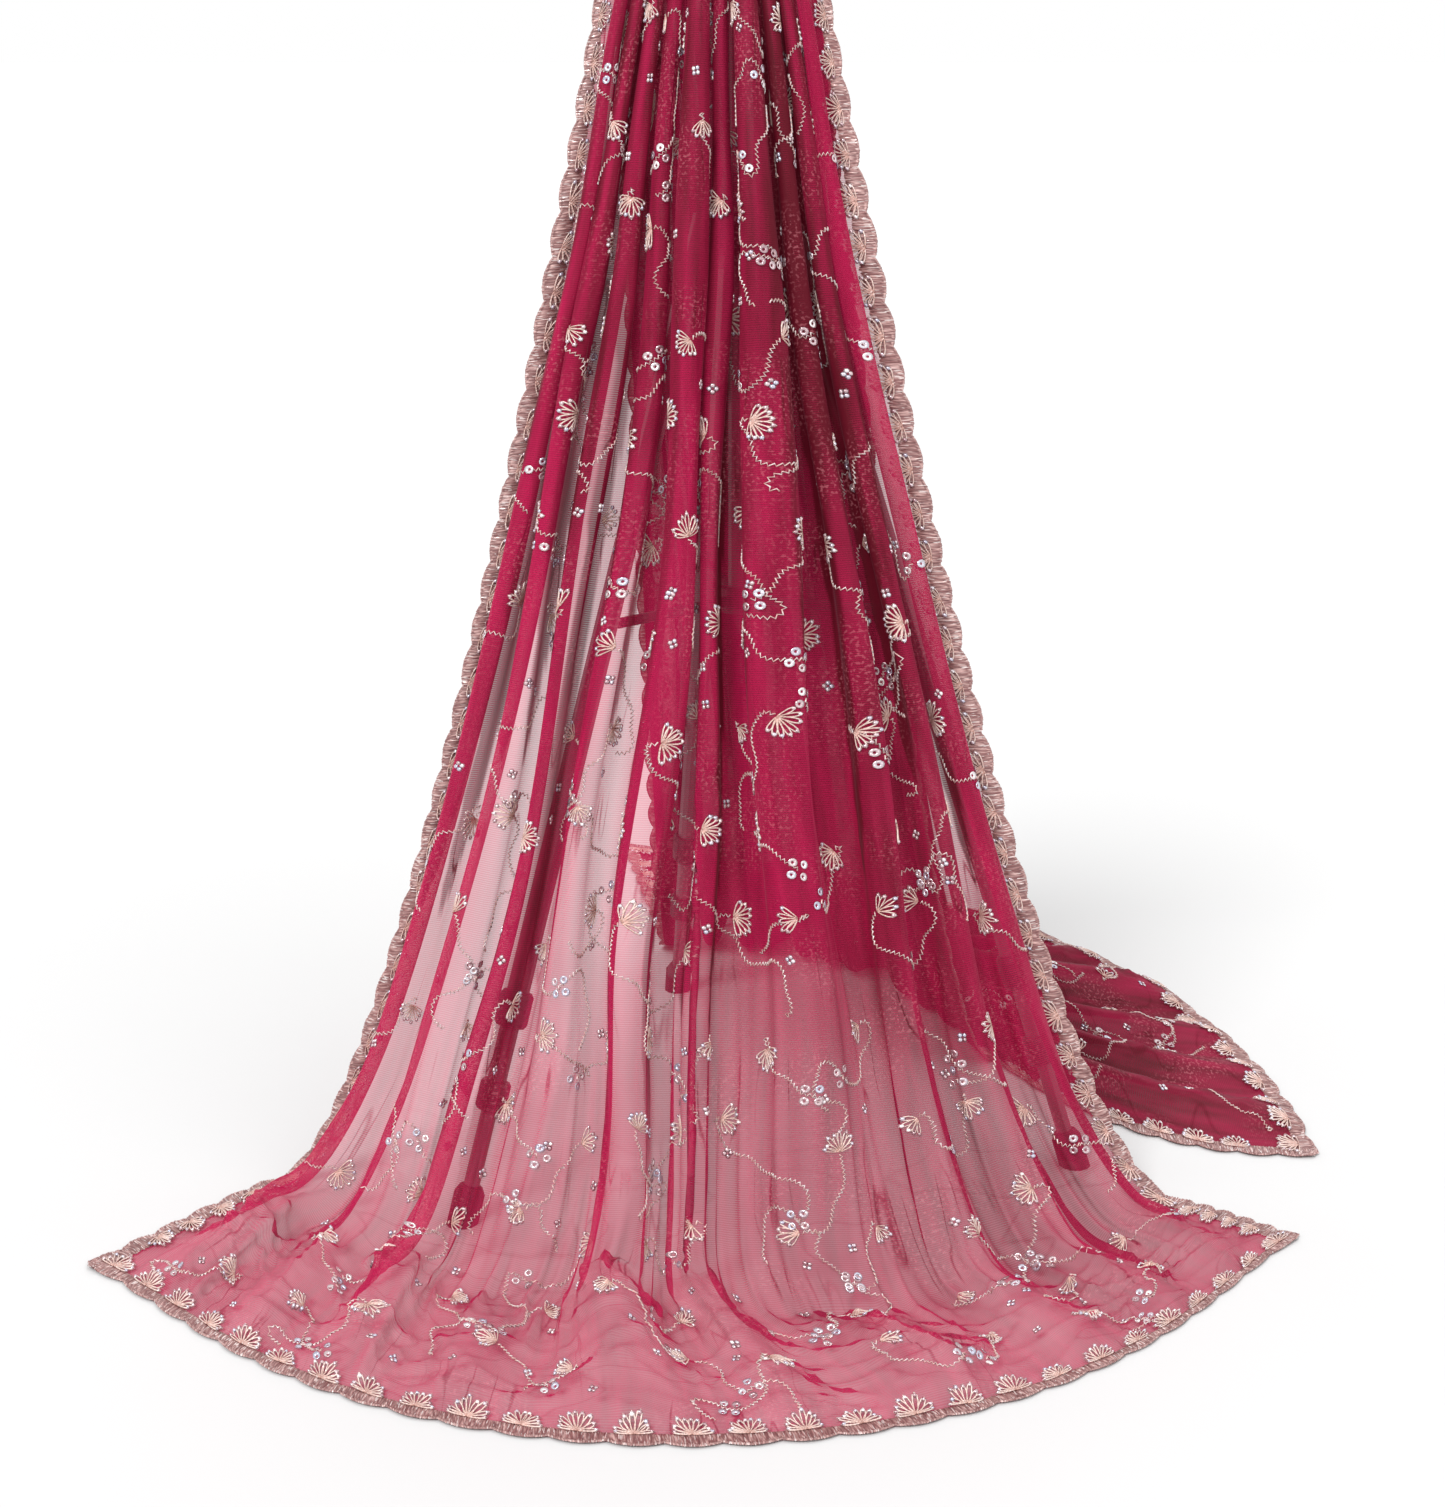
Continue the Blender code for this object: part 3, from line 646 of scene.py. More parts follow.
def handled_surface():
    """A group: faint scuffs and grain for the stand's tubes, mouldings and feet."""
    name = "handled surface"
    if name in bpy.data.node_groups:
        return bpy.data.node_groups[name]
    tree, given, put_out = new_group(
        name,
        (
            ("Place", "Vector", None),
            ("Colour", "Color", (0.05, 0.05, 0.05, 1.0)),
            ("Grain", "Float", 900.0),
            ("Base Roughness", "Float", 0.4),
        ),
        (("Colour", "Color"), ("Roughness", "Float"), ("Height", "Float")),
    )
    scuff = noise(tree, given["Place"], 35.0, 5.0)
    grain = noise(tree, given["Place"], given["Grain"], 1.0)
    worn = maths(tree, "MULTIPLY", maths(tree, "GREATER_THAN", scuff, 0.60), 0.25)
    colour = blend_colours(tree, worn, given["Colour"], (0.22, 0.21, 0.21, 1.0))
    rough = maths(tree, "ADD", given["Base Roughness"], maths(tree, "MULTIPLY", scuff, 0.15))
    fill(tree, put_out, {"Colour": colour, "Roughness": rough, "Height": grain})
    return tree


def crease_lines(tree, place, scale, width):
    """Thin wandering lines, where a noise crosses its middle value."""
    off = maths(tree, "ABSOLUTE", maths(tree, "SUBTRACT", noise(tree, place, scale, 2.0), 0.5))
    return maths(tree, "MAXIMUM", maths(tree, "SUBTRACT", 1.0, maths(tree, "DIVIDE", off, width)), 0.0)


def net_material(settings):
    """Sheer ribbed net: a share of the light passes, less where it is gathered, creased or seen edge on."""
    made, tree, shader = new_material("crimson net")
    cut = add_node(tree, "ShaderNodeUVMap", uv_map="cut").outputs[0]
    depth, cover, lying = (own_value(tree, name) for name in ("depth", "cover", "lying"))
    lengthwise = scaled_place(tree, cut, (1.0, 0.13, 1.0))
    crosswise = scaled_place(tree, cut, (0.40, 1.0, 1.0))
    rib = add_node(
        tree,
        "ShaderNodeTexWave",
        {"Vector": cut, "Scale": 2 * math.pi / WAVE_UNIT / settings.rib_pitch},
        bands_direction="Y",
    ).outputs["Fac"]
    cloud = stretched(tree, noise(tree, lengthwise, 26.0, 3.0), 0.36, 0.64)
    patch = stretched(tree, noise(tree, cut, 14.0, 1.0), 0.48, 0.62)
    speck = stretched(tree, noise(tree, cut, 420.0, 1.0), 0.54, 0.66)
    crinkle = noise(tree, lengthwise, 150.0, 2.0)
    streak = noise(tree, lengthwise, 120.0, 1.0)
    down = maths(tree, "MULTIPLY", crease_lines(tree, lengthwise, 34.0, 0.014), patch)
    level = maths(tree, "MULTIPLY", crease_lines(tree, crosswise, 15.0, 0.012), lying)
    lines = maths(tree, "MAXIMUM", down, maths(tree, "MULTIPLY", level, 0.35))
    lines = maths(tree, "MULTIPLY", lines, settings.crease_lines)
    edge = add_node(tree, "ShaderNodeLayerWeight", {"Blend": 0.42}).outputs["Facing"]
    shadow = add_node(tree, "ShaderNodeLightPath").outputs["Is Shadow Ray"]

    # The colour deepens with the painted shade stored on the mesh and along the crease lines, a painted shade
    # in the creases; cloud and streaks are random tone
    share = maths(tree, "SUBTRACT", depth, 0.5 * STREAK_WEIGHT)
    share = weighted(tree, share, ((cloud, 0.24), (streak, STREAK_WEIGHT), (lines, 0.40), (rib, -0.14)))
    share = maths(tree, "MINIMUM", maths(tree, "MAXIMUM", share, 0.0), 1.0)
    colour = blend_colours(tree, share, rgba(settings.net_colour), rgba(settings.net_deep))
    glint = maths(tree, "MULTIPLY", maths(tree, "MULTIPLY", speck, patch), 0.20)
    colour = blend_colours(tree, glint, colour, rgba(settings.fleck_colour))

    alpha = maths(tree, "ADD", cover, settings.net_cover - 0.12)
    covers = ((rib, 0.14), (cloud, 0.06), (lying, -0.06), (depth, 0.40), (lines, 0.32), (edge, 0.30))
    alpha = maths(tree, "MINIMUM", weighted(tree, alpha, covers), 0.97)
    alpha = maths(tree, "MULTIPLY", alpha, maths(tree, "MULTIPLY_ADD", shadow, -0.50, 1.0))
    finish = {
        "Base Color": colour,
        # The net glows faintly in its own colour, a painted stand-in for light shining through it
        "Emission Color": colour,
        "Emission Strength": 0.30,
        "Alpha": alpha,
        "Roughness": 0.62,
        "Sheen Weight": 0.05,
        "Sheen Roughness": 0.35,
        "Sheen Tint": (1.0, 0.45, 0.60, 1.0),
        "Specular IOR Level": 0.10,
        "Normal": bumped(tree, weighted(tree, crinkle, ((rib, 0.10), (lines, 0.9))), 0.45, 0.0014),
    }
    fill(tree, shader, finish)
    return made


def thread_material(name, dark, light, tip, twists, relief, metallic):
    """Spun thread that grows paler towards the tips of its stitches; vines and band pale at painted glints
    instead.
    """
    made, tree, shader = new_material(name)
    strand = add_node(tree, "ShaderNodeUVMap", uv_map="strand").outputs[0]
    look = add_node(
        tree,
        "ShaderNodeGroup",
        {"Map": strand, "Twists": twists, "Dark": rgba(dark), "Light": rgba(light), "Relief": relief},
        node_tree=spun_strands(),
    ).outputs
    # The tip value pales the thread along a fan's petals; on the vines and the satin band it carries painted
    # glints
    pale = maths(tree, "MULTIPLY", own_value(tree, "tip"), 0.75)
    finish = {
        "Base Color": blend_colours(tree, pale, look["Colour"], rgba(tip)),
        "Roughness": look["Gloss"],
        "Metallic": metallic,
        "Specular IOR Level": 0.8,
        "Normal": bumped(tree, look["Height"], 0.6, 0.0005),
    }
    fill(tree, shader, finish)
    return made


def sequin_material():
    """Clear cup sequins with a faint rainbow film and a painted glint: each a tint from dull pink to near
    white.
    """
    made, tree, shader = new_material("clear sequin film")
    own = own_value(tree, "shade")
    # Each sequin's tint, from dull pink to near white, paints in how brightly it catches the light
    film_and_glint_tints = (
        (0.0, (0.40, 0.24, 0.27)),
        (0.45, (0.66, 0.52, 0.54)),
        (0.75, (0.50, 0.50, 0.62)),
        (1.0, (0.92, 0.84, 0.82)),
    )
    finish = {
        "Base Color": graded(tree, own, film_and_glint_tints),
        "Roughness": maths(tree, "MULTIPLY_ADD", own, 0.12, 0.10),
        "Metallic": 0.55,
        "Specular IOR Level": 0.9,
        "Coat Weight": 1.0,
        "Coat Roughness": 0.04,
    }
    fill(tree, shader, finish)
    return made


def stand_material(name, colour, roughness, metallic, grain, relief):
    made, tree, shader = new_material(name)
    place = add_node(tree, "ShaderNodeTexCoord").outputs["Object"]
    look = add_node(
        tree,
        "ShaderNodeGroup",
        {"Place": place, "Colour": rgba(colour), "Grain": grain, "Base Roughness": roughness},
        node_tree=handled_surface(),
    ).outputs
    finish = {
        "Base Color": look["Colour"],
        "Roughness": look["Roughness"],
        "Metallic": metallic,
        "Normal": bumped(tree, look["Height"], relief, 0.0004),
    }
    fill(tree, shader, finish)
    return made


# Mesh helpers
def show(name, mesh, material):
    mesh.materials.clear()
    mesh.materials.append(material)
    made = bpy.data.objects.new(name, mesh)
    bpy.context.scene.collection.objects.link(made)
    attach(made, BODY)
    return made


def set_map(mesh, name, values):
    """A UV map from one pair of numbers for each vertex."""
    layer = mesh.uv_layers.new(name=name)
    corners = np.zeros(len(mesh.loops), np.int32)
    mesh.loops.foreach_get("vertex_index", corners)
    layer.data.foreach_set("uv", values[corners].astype(np.float32).ravel())


def set_values(mesh, name, values):
    made = mesh.attributes.new(name, "FLOAT", "POINT")
    made.data.foreach_set("value", np.asarray(values, np.float32))


def template(bm):
    """The points and triangles of a small shape."""
    bmesh.ops.remove_doubles(bm, verts=bm.verts, dist=1e-7)
    bmesh.ops.recalc_face_normals(bm, faces=bm.faces)
    bmesh.ops.triangulate(bm, faces=bm.faces)
    bm.verts.index_update()
    points = np.array([v.co[:] for v in bm.verts])
    faces = [[v.index for v in f.verts] for f in bm.faces]
    bm.free()
    # A spin leaves its faces in no fixed order, so they are sorted, which gives the same mesh in each run
    faces = sorted(f[f.index(min(f)) :] + f[: f.index(min(f))] for f in faces)
    return points, np.array(faces)


def spin_round(bm, outline):
    """Spins an outline all the way round Z."""
    bmesh.ops.spin(
        bm,
        geom=outline,
        cent=(0, 0, 0),
        axis=(0, 0, 1),
        angle=2 * math.pi,
        steps=ROUND_STEPS,
        use_merge=True,
    )


def petal(length, width, thread):
    """One looped stitch lying along +Y from the origin, on the plane z = 0."""
    bm = bmesh.new()
    upright = Matrix.Translation((1.0, 0.0, 0.0)) @ Matrix.Rotation(math.pi / 2, 4, "X")
    bmesh.ops.create_circle(bm, segments=3, radius=thread, matrix=upright)
    ring = bm.verts[:] + bm.edges[:]
    spin_round(bm, ring)
    for vertex in bm.verts:
        turn = math.atan2(vertex.co.y, vertex.co.x)
        aside = math.hypot(vertex.co.x, vertex.co.y) - 1.0

        def line(t):
            out = (1 - math.cos(t)) / 2
            return Vector((width / 2 * math.sin(t) * (0.30 + 0.70 * out), length * out))

        middle = line(turn)
        way = (line(turn + 0.02) - line(turn - 0.02)).normalized()
        vertex.co.x = middle.x + aside * way.y
        vertex.co.y = middle.y - aside * way.x
    return template(bm)


def bead(radius, depth, sides):
    """A small cup lying on z = 0, wide side down."""
    bm = bmesh.new()
    bmesh.ops.create_cone(
        bm,
        segments=sides,
        radius1=radius,
        radius2=radius * 0.45,
        depth=depth,
        cap_ends=True,
        matrix=Matrix.Translation((0, 0, depth / 2)),
    )
    return template(bm)


def cup_sequin(radius, hole, depth):
    """A dished ring."""
    bm = bmesh.new()
    outline = ((hole, 0.0), (radius, depth), (radius, depth + FILM), (hole, FILM))
    corners = [bm.verts.new((x, 0.0, z)) for x, z in outline]
    edges = [bm.edges.new((a, b)) for a, b in zip(corners, corners[1:] + corners[:1])]
    spin_round(bm, corners + edges)
    return template(bm)


class Stitches:
    """Many small shapes gathered on the flat cut, then laid on the cloth as one mesh."""

    def __init__(self):
        self.parts = []
        self.count = 0

    def add(self, points, faces, tips, shade):
        self.parts.append((points, faces + self.count, points[:, :2], tips, np.full(len(points), shade)))
        self.count += len(points)

    def stamp(self, shape, across, along, turn, lift, shade, tip=0.0):
        """Puts a shape at a place on the cut, its +Y turned from the way to the front hem."""
        points, faces = shape
        c = math.cos(turn)
        s = math.sin(turn)
        placed = np.empty_like(points)
        placed[:, 0] = across + points[:, 0] * c - points[:, 1] * s
        placed[:, 1] = along + points[:, 0] * s + points[:, 1] * c
        placed[:, 2] = points[:, 2] + lift
        tips = np.clip(points[:, 1] / max(np.ptp(points[:, 1]), 1e-6), 0, 1) * tip
        self.add(placed, faces, tips, shade)

    def piece(self, name, material):
        places, faces, maps, tips, shades = (np.concatenate(part) for part in zip(*self.parts))
        mesh = bpy.data.meshes.new(name)
        mesh.from_pydata(cloth().lay(places).tolist(), [], faces.tolist())
        set_map(mesh, "strand", maps)
        set_values(mesh, "tip", tips)
        set_values(mesh, "shade", shades)
        mesh.shade_smooth()
        return show(name, mesh, material)


def tube_faces(count, sides):
    """Triangles of an open tube through rings of points, closed at both ends."""
    ring = np.arange(sides)
    rows = np.arange(count - 1)[:, None] * sides
    a = rows + ring
    b = rows + (ring + 1) % sides
    c = b + sides
    d = a + sides
    first = np.array([[0, k + 1, k] for k in range(1, sides - 1)])
    last = np.array([[0, k, k + 1] for k in range(1, sides - 1)]) + (count - 1) * sides
    walls = [np.stack(corners, -1).reshape(-1, 3) for corners in ((a, b, c), (a, c, d))]
    return np.concatenate((*walls, first, last))


def sideways(path):
    """The way to the left of a path, at each of its points."""
    way = np.gradient(path, axis=0)
    way /= np.maximum(np.linalg.norm(way, axis=1, keepdims=True), 1e-9)
    return np.stack((-way[:, 1], way[:, 0]), -1)


def thread_tube(path, radius, lift, sides=3):
    """A thread along a path on the cut, as points over the net and triangles."""
    aside = sideways(path)
    turns = np.arange(sides) * 2 * math.pi / sides + math.pi / 2
    points = np.empty((len(path), sides, 3))
    points[..., :2] = path[:, None, :] + aside[:, None, :] * (np.cos(turns) * radius)[None, :, None]
    points[..., 2] = lift + np.sin(turns) * radius
    return points.reshape(-1, 3), tube_faces(len(path), sides)


def curve_points(corners, step):
    """A smooth curve through a four-point handle, at even steps."""
    a, b, c, d = (np.array(p) for p in corners)
    t = np.linspace(0, 1, 60)[:, None]
    line = a * (1 - t) ** 3 + 3 * b * t * (1 - t) ** 2 + 3 * c * t**2 * (1 - t) + d * t**3
    lengths = np.concatenate(([0.0], np.cumsum(np.linalg.norm(np.diff(line, axis=0), axis=1))))
    marks = np.linspace(0, lengths[-1], max(int(lengths[-1] / step), 3))
    return np.stack([np.interp(marks, lengths, line[:, k]) for k in range(2)], -1)


def zigzag(line, reach, bend, phase):
    """The same line with slow bends, stepping from side to side."""
    aside = sideways(line)
    sign = np.where(np.arange(len(line)) % 2 == 0, 1.0, -1.0)[:, None]
    slow = np.sin(np.arange(len(line)) * 0.24 + phase) * np.sin(np.linspace(0, math.pi, len(line)))
    return line + aside * (sign * reach + slow[:, None] * bend)


# Where the embroidery lies on the cut
def kept_in(place, side_clear, hem_clear):
    """The place, moved so that it stays clear of the sides and of both hems."""
    side = CUT_WIDTH / 2 - side_clear
    return np.array(
        (
            min(max(place[0], -side), side),
            min(max(place[1], hem_clear - BACK_LENGTH), FRONT_LENGTH - hem_clear),
        )
    )


def field_layout(settings):
    """Fans, clusters, flowers and the vines between them, in staggered rows with small shifts."""
    rng = random.Random(5)
    pitch = settings.fan_spacing
    fans = []
    clusters = []
    vines = []
    flowers = []
    columns = int(FIELD_WIDTH / pitch)
    for front in (True, False):
        length = FRONT_LENGTH if front else BACK_LENGTH
        sign = 1 if front else -1
        rows = round((length - FIELD_ENDS) / (pitch * ROW_SQUEEZE))
        level = (length - FIELD_ENDS) / rows
        for j, i in itertools.product(range(rows), range(columns)):
            stagger = 0.75 if j % 2 else 0.25
            across = (i + stagger) * pitch - columns * pitch / 2 + rng.uniform(-0.016, 0.016)
            along = FIELD_START + (j + 0.5) * level + rng.uniform(-0.015, 0.015)
            if abs(across) > FAN_SIDE_LIMIT or along > length - FAN_HEM_CLEAR:
                continue
            turn = rng.uniform(-2.2, 2.2) + (math.pi if (i + j) % 3 == 0 else 0.0)
            size = rng.uniform(0.86, 1.12)
            is_bud = rng.random() < BUD_CHANCE
            fans.append((across, along * sign, turn, size, 5 if is_bud else rng.choice((7, 8, 8, 9, 9))))
            stem = np.array((math.sin(turn), -math.cos(turn)))
            start = np.array((across, along * sign)) + stem * 0.002
            hand = 1 if (i + j) % 2 else -1
            target = kept_in(
                (
                    across + hand * pitch * rng.uniform(0.35, 0.62),
                    (along + pitch * rng.uniform(0.25, 0.62)) * sign,
                ),
                0.038,
                0.035,
            )
            swirl = np.array((-hand * rng.uniform(0.010, 0.035), sign * rng.uniform(-0.03, 0.04)))
            vines.append((start, start + stem * rng.uniform(0.012, 0.030), target + swirl, target))
            if rng.random() < CLUSTER_CHANCE:
                clusters.append((*target, rng.uniform(0, math.pi / 2), rng.choice((4, 4, 4, 3))))
            if rng.random() < ONWARD_CHANCE:
                step = np.array((hand * rng.uniform(-0.25, 0.50), sign * rng.uniform(0.25, 0.55))) * pitch
                onward = kept_in(target + step, 0.035, 0.030)
                vines.append((target, target - swirl * 1.2, onward + np.array((hand * 0.012, 0.0)), onward))
            for _ in range(2):
                if rng.random() < FLOWER_CHANCE:
                    flowers.append(
                        (
                            across + rng.uniform(-0.5, 0.5) * pitch,
                            (along + rng.uniform(-0.5, 0.5) * pitch) * sign,
                            rng.uniform(0, math.pi / 2),
                        )
                    )
    flowers = [
        f
        for f in flowers
        if tuple(kept_in(f[:2], 0.038, 0.035)) == f[:2]
        and min(math.hypot(f[0] - g[0], f[1] - g[1]) for g in fans) > FLOWER_CLEAR
    ]
    return fans, clusters, vines, flowers


def edge_fans():
    """Fans along the border, one to a scallop: across, along, the turn of the middle petal and the size."""
    rng = random.Random(9)
    made = []
    for front in (True, False):
        length = FRONT_LENGTH if front else BACK_LENGTH
        sign = 1 if front else -1
        towards_hem = math.pi if front else 0.0
        for number in range(HEM_SCALLOPS):
            across = ((number + 0.5) / HEM_SCALLOPS - 0.5) * CUT_WIDTH
            turn = towards_hem + rng.uniform(-0.12, 0.12)
            made.append((across, sign * (length - EDGE_FAN_IN), turn, rng.uniform(0.94, 1.08)))
        side_length = length - CORNER_CLEAR
        count = round(side_length / SIDE_SCALLOP_PITCH)
        for hand, number in itertools.product((-1, 1), range(count - 1)):
            across = hand * (CUT_WIDTH / 2 - EDGE_FAN_IN + 0.003)
            turn = math.pi / 2 * hand + rng.uniform(-0.14, 0.14)
            made.append((across, sign * (number + 0.5) * side_length / count, turn, rng.uniform(0.84, 1.00)))
    return made


def scallop(place):
    """How far the band's outer edge stands out, for a place counted in scallops."""
    return SCALLOP_DEPTH * np.abs(np.sin(math.pi * place)) ** SCALLOP_POWER


# Where the cord lies across the satin band, and the band's heights over the net from its inner to its outer
# edge: share of the width, millimetres
CORD_PLACE = 0.92
BAND_PROFILE = (
    (0.00, 0.15),
    (0.14, 0.75),
    (0.45, 1.00),
    (0.72, 0.85),
    (0.84, 0.70),
    (CORD_PLACE, 1.50),
    (1.00, 0.55),
)


def band_strip(bm, edge, settings, seed):
    """One edge's satin band, built flat and lifted stitch by stitch; edge is front, back, left or right."""
    rng = np.random.default_rng(seed)
    if edge in ("front", "back"):
        length = CUT_WIDTH
        count = HEM_SCALLOPS
    else:
        length = FRONT_LENGTH + BACK_LENGTH
        count = round(length / SIDE_SCALLOP_PITCH)
    stitches = int(length / settings.stitch_pitch)
    steps = stitches * 2
    segments = len(BAND_PROFILE) - 1
    grid = bmesh.ops.create_grid(bm, x_segments=steps, y_segments=segments, size=0.5)
    verts = grid["verts"]
    run = np.array([v.co.x + 0.5 for v in verts])
    across = np.array([v.co.y + 0.5 for v in verts])
    row = np.rint(run * steps).astype(int)
    jitter = rng.normal(0, STITCH_JITTER, steps + 1)
    ridge = np.where(row % 2 == 0, STITCH_RISE, -STITCH_DIP) + jitter[row] * 0.6
    places, heights = (np.array(column) for column in zip(*BAND_PROFILE))
    level = places[np.rint(across * segments).astype(int)]
    lift = np.interp(level, places, heights) * 0.001 * settings.band_height + ridge * (level > 0.01)
    outer = -SCALLOP_DEPTH + scallop(run * count) + jitter[row] * 0.6
    inner = -settings.band_width + jitter[row] * 2.2
    reach = inner + (outer - inner) * level
    slant = 0.0006 * np.sin(run * count * 2 * math.pi) * level
    if edge == "front":
        flat = np.stack((run * CUT_WIDTH - CUT_WIDTH / 2 + slant, FRONT_LENGTH + reach, lift), -1)
    elif edge == "back":
        flat = np.stack((run * CUT_WIDTH - CUT_WIDTH / 2 + slant, -BACK_LENGTH - reach, lift), -1)
    else:
        hand = -1 if edge == "left" else 1
        flat = np.stack((hand * (CUT_WIDTH / 2 + reach), run * length - BACK_LENGTH + slant, lift), -1)
    laid = cloth().lay(flat)
    for vertex, point in zip(verts, laid):
        vertex.co = point
    # Painted shine: highlights on the stitch ridges and along the cord, and random glints
    shine = 0.25 * np.where(row % 2 == 0, rng.uniform(0.25, 1.0, steps + 1)[row] ** 2, 0.0)
    shine = shine + rng.uniform(0, 1, len(row)) ** 4 + 0.2 * (np.abs(level - CORD_PLACE) < 0.01)
    return flat[:, :2], np.clip(shine, 0, 1)


def build_border(settings, material):
    bm = bmesh.new()
    maps = []
    shines = []
    for number, edge in enumerate(("front", "back", "left", "right")):
        flat, shine = band_strip(bm, edge, settings, 40 + number)
        shines.append(shine)
        if edge in ("left", "right"):
            flat = flat[:, ::-1]
        maps.append(flat * np.array((1.0, 0.12)))
    bmesh.ops.recalc_face_normals(bm, faces=bm.faces)
    mesh = bpy.data.meshes.new("satin_border")
    bm.to_mesh(mesh)
    bm.free()
    set_map(mesh, "strand", np.concatenate(maps))
    set_values(mesh, "tip", np.concatenate(shines))
    mesh.shade_smooth()
    return show("satin_border", mesh, material)


def tint(name, about, default):
    return FloatVectorProperty(
        name=name, description=about, subtype="COLOR", size=3, min=0, max=1, default=default
    )


def measure(name, about, default):
    return FloatProperty(name=name, description=about, unit="LENGTH", precision=4, default=default)


def portion(name, about, default):
    return FloatProperty(name=name, description=about, subtype="FACTOR", min=0, max=1, default=default)


def strength(name, about, default):
    return FloatProperty(name=name, description=about, min=0, max=10, default=default)


class DupattaSettings(bpy.types.PropertyGroup):
    """Sizes and colours of the stole's cloth and embroidery."""

    net_colour: tint("Net colour", "Colour of the net's threads", (0.41, 0.008, 0.064))
    # The deep colour is where the painted shade and the random streaks lead
    net_deep: tint("Net in depth", "Colour where many layers lie together", (0.080, 0.0030, 0.0095))
    fleck_colour: tint("Fleck colour", "Colour of the fine specks in the net", (0.70, 0.24, 0.28))
    net_cover: portion("Net cover", "Share of the view that one layer of net hides", 0.54)
    rib_pitch: measure("Rib pitch", "Distance between the net's fine ribs", 0.0015)
    crease_lines: portion("Crease lines", "Strength of the fine creases", 0.8)
    crease_height: strength("Crease height", "Scale of the small folds and wrinkles", 1.0)
    band_width: measure("Band width", "Width of the satin band with its scallops", 0.0145)
    band_height: strength("Band height", "Scale of the band's padding", 1.0)
    stitch_pitch: measure("Stitch pitch", "Distance between the band's stitches", 0.0016)
    # Each thread's dark and light colours are its painted shade and painted light, blended along the twist
    satin_dark: tint("Satin shade", "The band's thread in shade", (0.07, 0.016, 0.019))
    satin_light: tint("Satin light", "The band's thread in light", (0.27, 0.098, 0.094))
    satin_glint: tint("Satin glint", "The band's brightest stitches", (0.82, 0.54, 0.50))
    thread_dark: tint("Fan thread at the base", "Colour where the petals meet", (0.32, 0.105, 0.085))
    thread_light: tint("Fan thread in light", "Colour of the petals' lit thread", (0.80, 0.50, 0.42))
    thread_tip: tint("Fan thread at the tips", "Colour of the petals' tips", (0.96, 0.88, 0.82))
    vine_dark: tint("Vine thread in shade", "The vines' thread in shade", (0.44, 0.15, 0.14))
    vine_light: tint("Vine thread in light", "The vines' thread in light", (0.90, 0.60, 0.54))
    petal_length: measure("Petal length", "Length of a fan's looped stitch", 0.0150)
    petal_width: measure("Petal width", "Width of the loop at its tip", 0.0039)
    thread_radius: measure("Thread radius", "Half the thickness of the thick thread", 0.00060)
    fan_spacing: measure("Fan spacing", "Distance between the fans in the field", 0.077)
    vine_step: measure("Vine step", "Length of one stitch of a vine", 0.00150)
    vine_reach: measure("Vine reach", "How far a vine steps to each side", 0.00115)
    sequin_radius: measure("Sequin radius", "Half the width of a cup sequin", 0.0029)


class StageSettings(bpy.types.PropertyGroup):
    """The floor, the light and the camera."""

    floor_colour: tint("Floor", "Colour of the floor", (0.66, 0.66, 0.66))
    sky_strength: strength("Soft light", "Strength of the light from all round", 1.0)
    key_strength: strength("Key light", "Strength of the key light", 1.95)
    lens: FloatProperty(name="Lens", description="Focal length", unit="CAMERA", default=57.33)
    camera_height: measure("Camera height", "Over the floor", 0.825)
    camera_back: measure("Camera distance", "From the stand", 1.739)
    camera_aside: measure("Camera aside", "To the right of the stand", -0.013)
    camera_pitch: FloatProperty(
        name="Camera pitch", description="Below the horizon", unit="ROTATION", default=math.radians(16.8)
    )


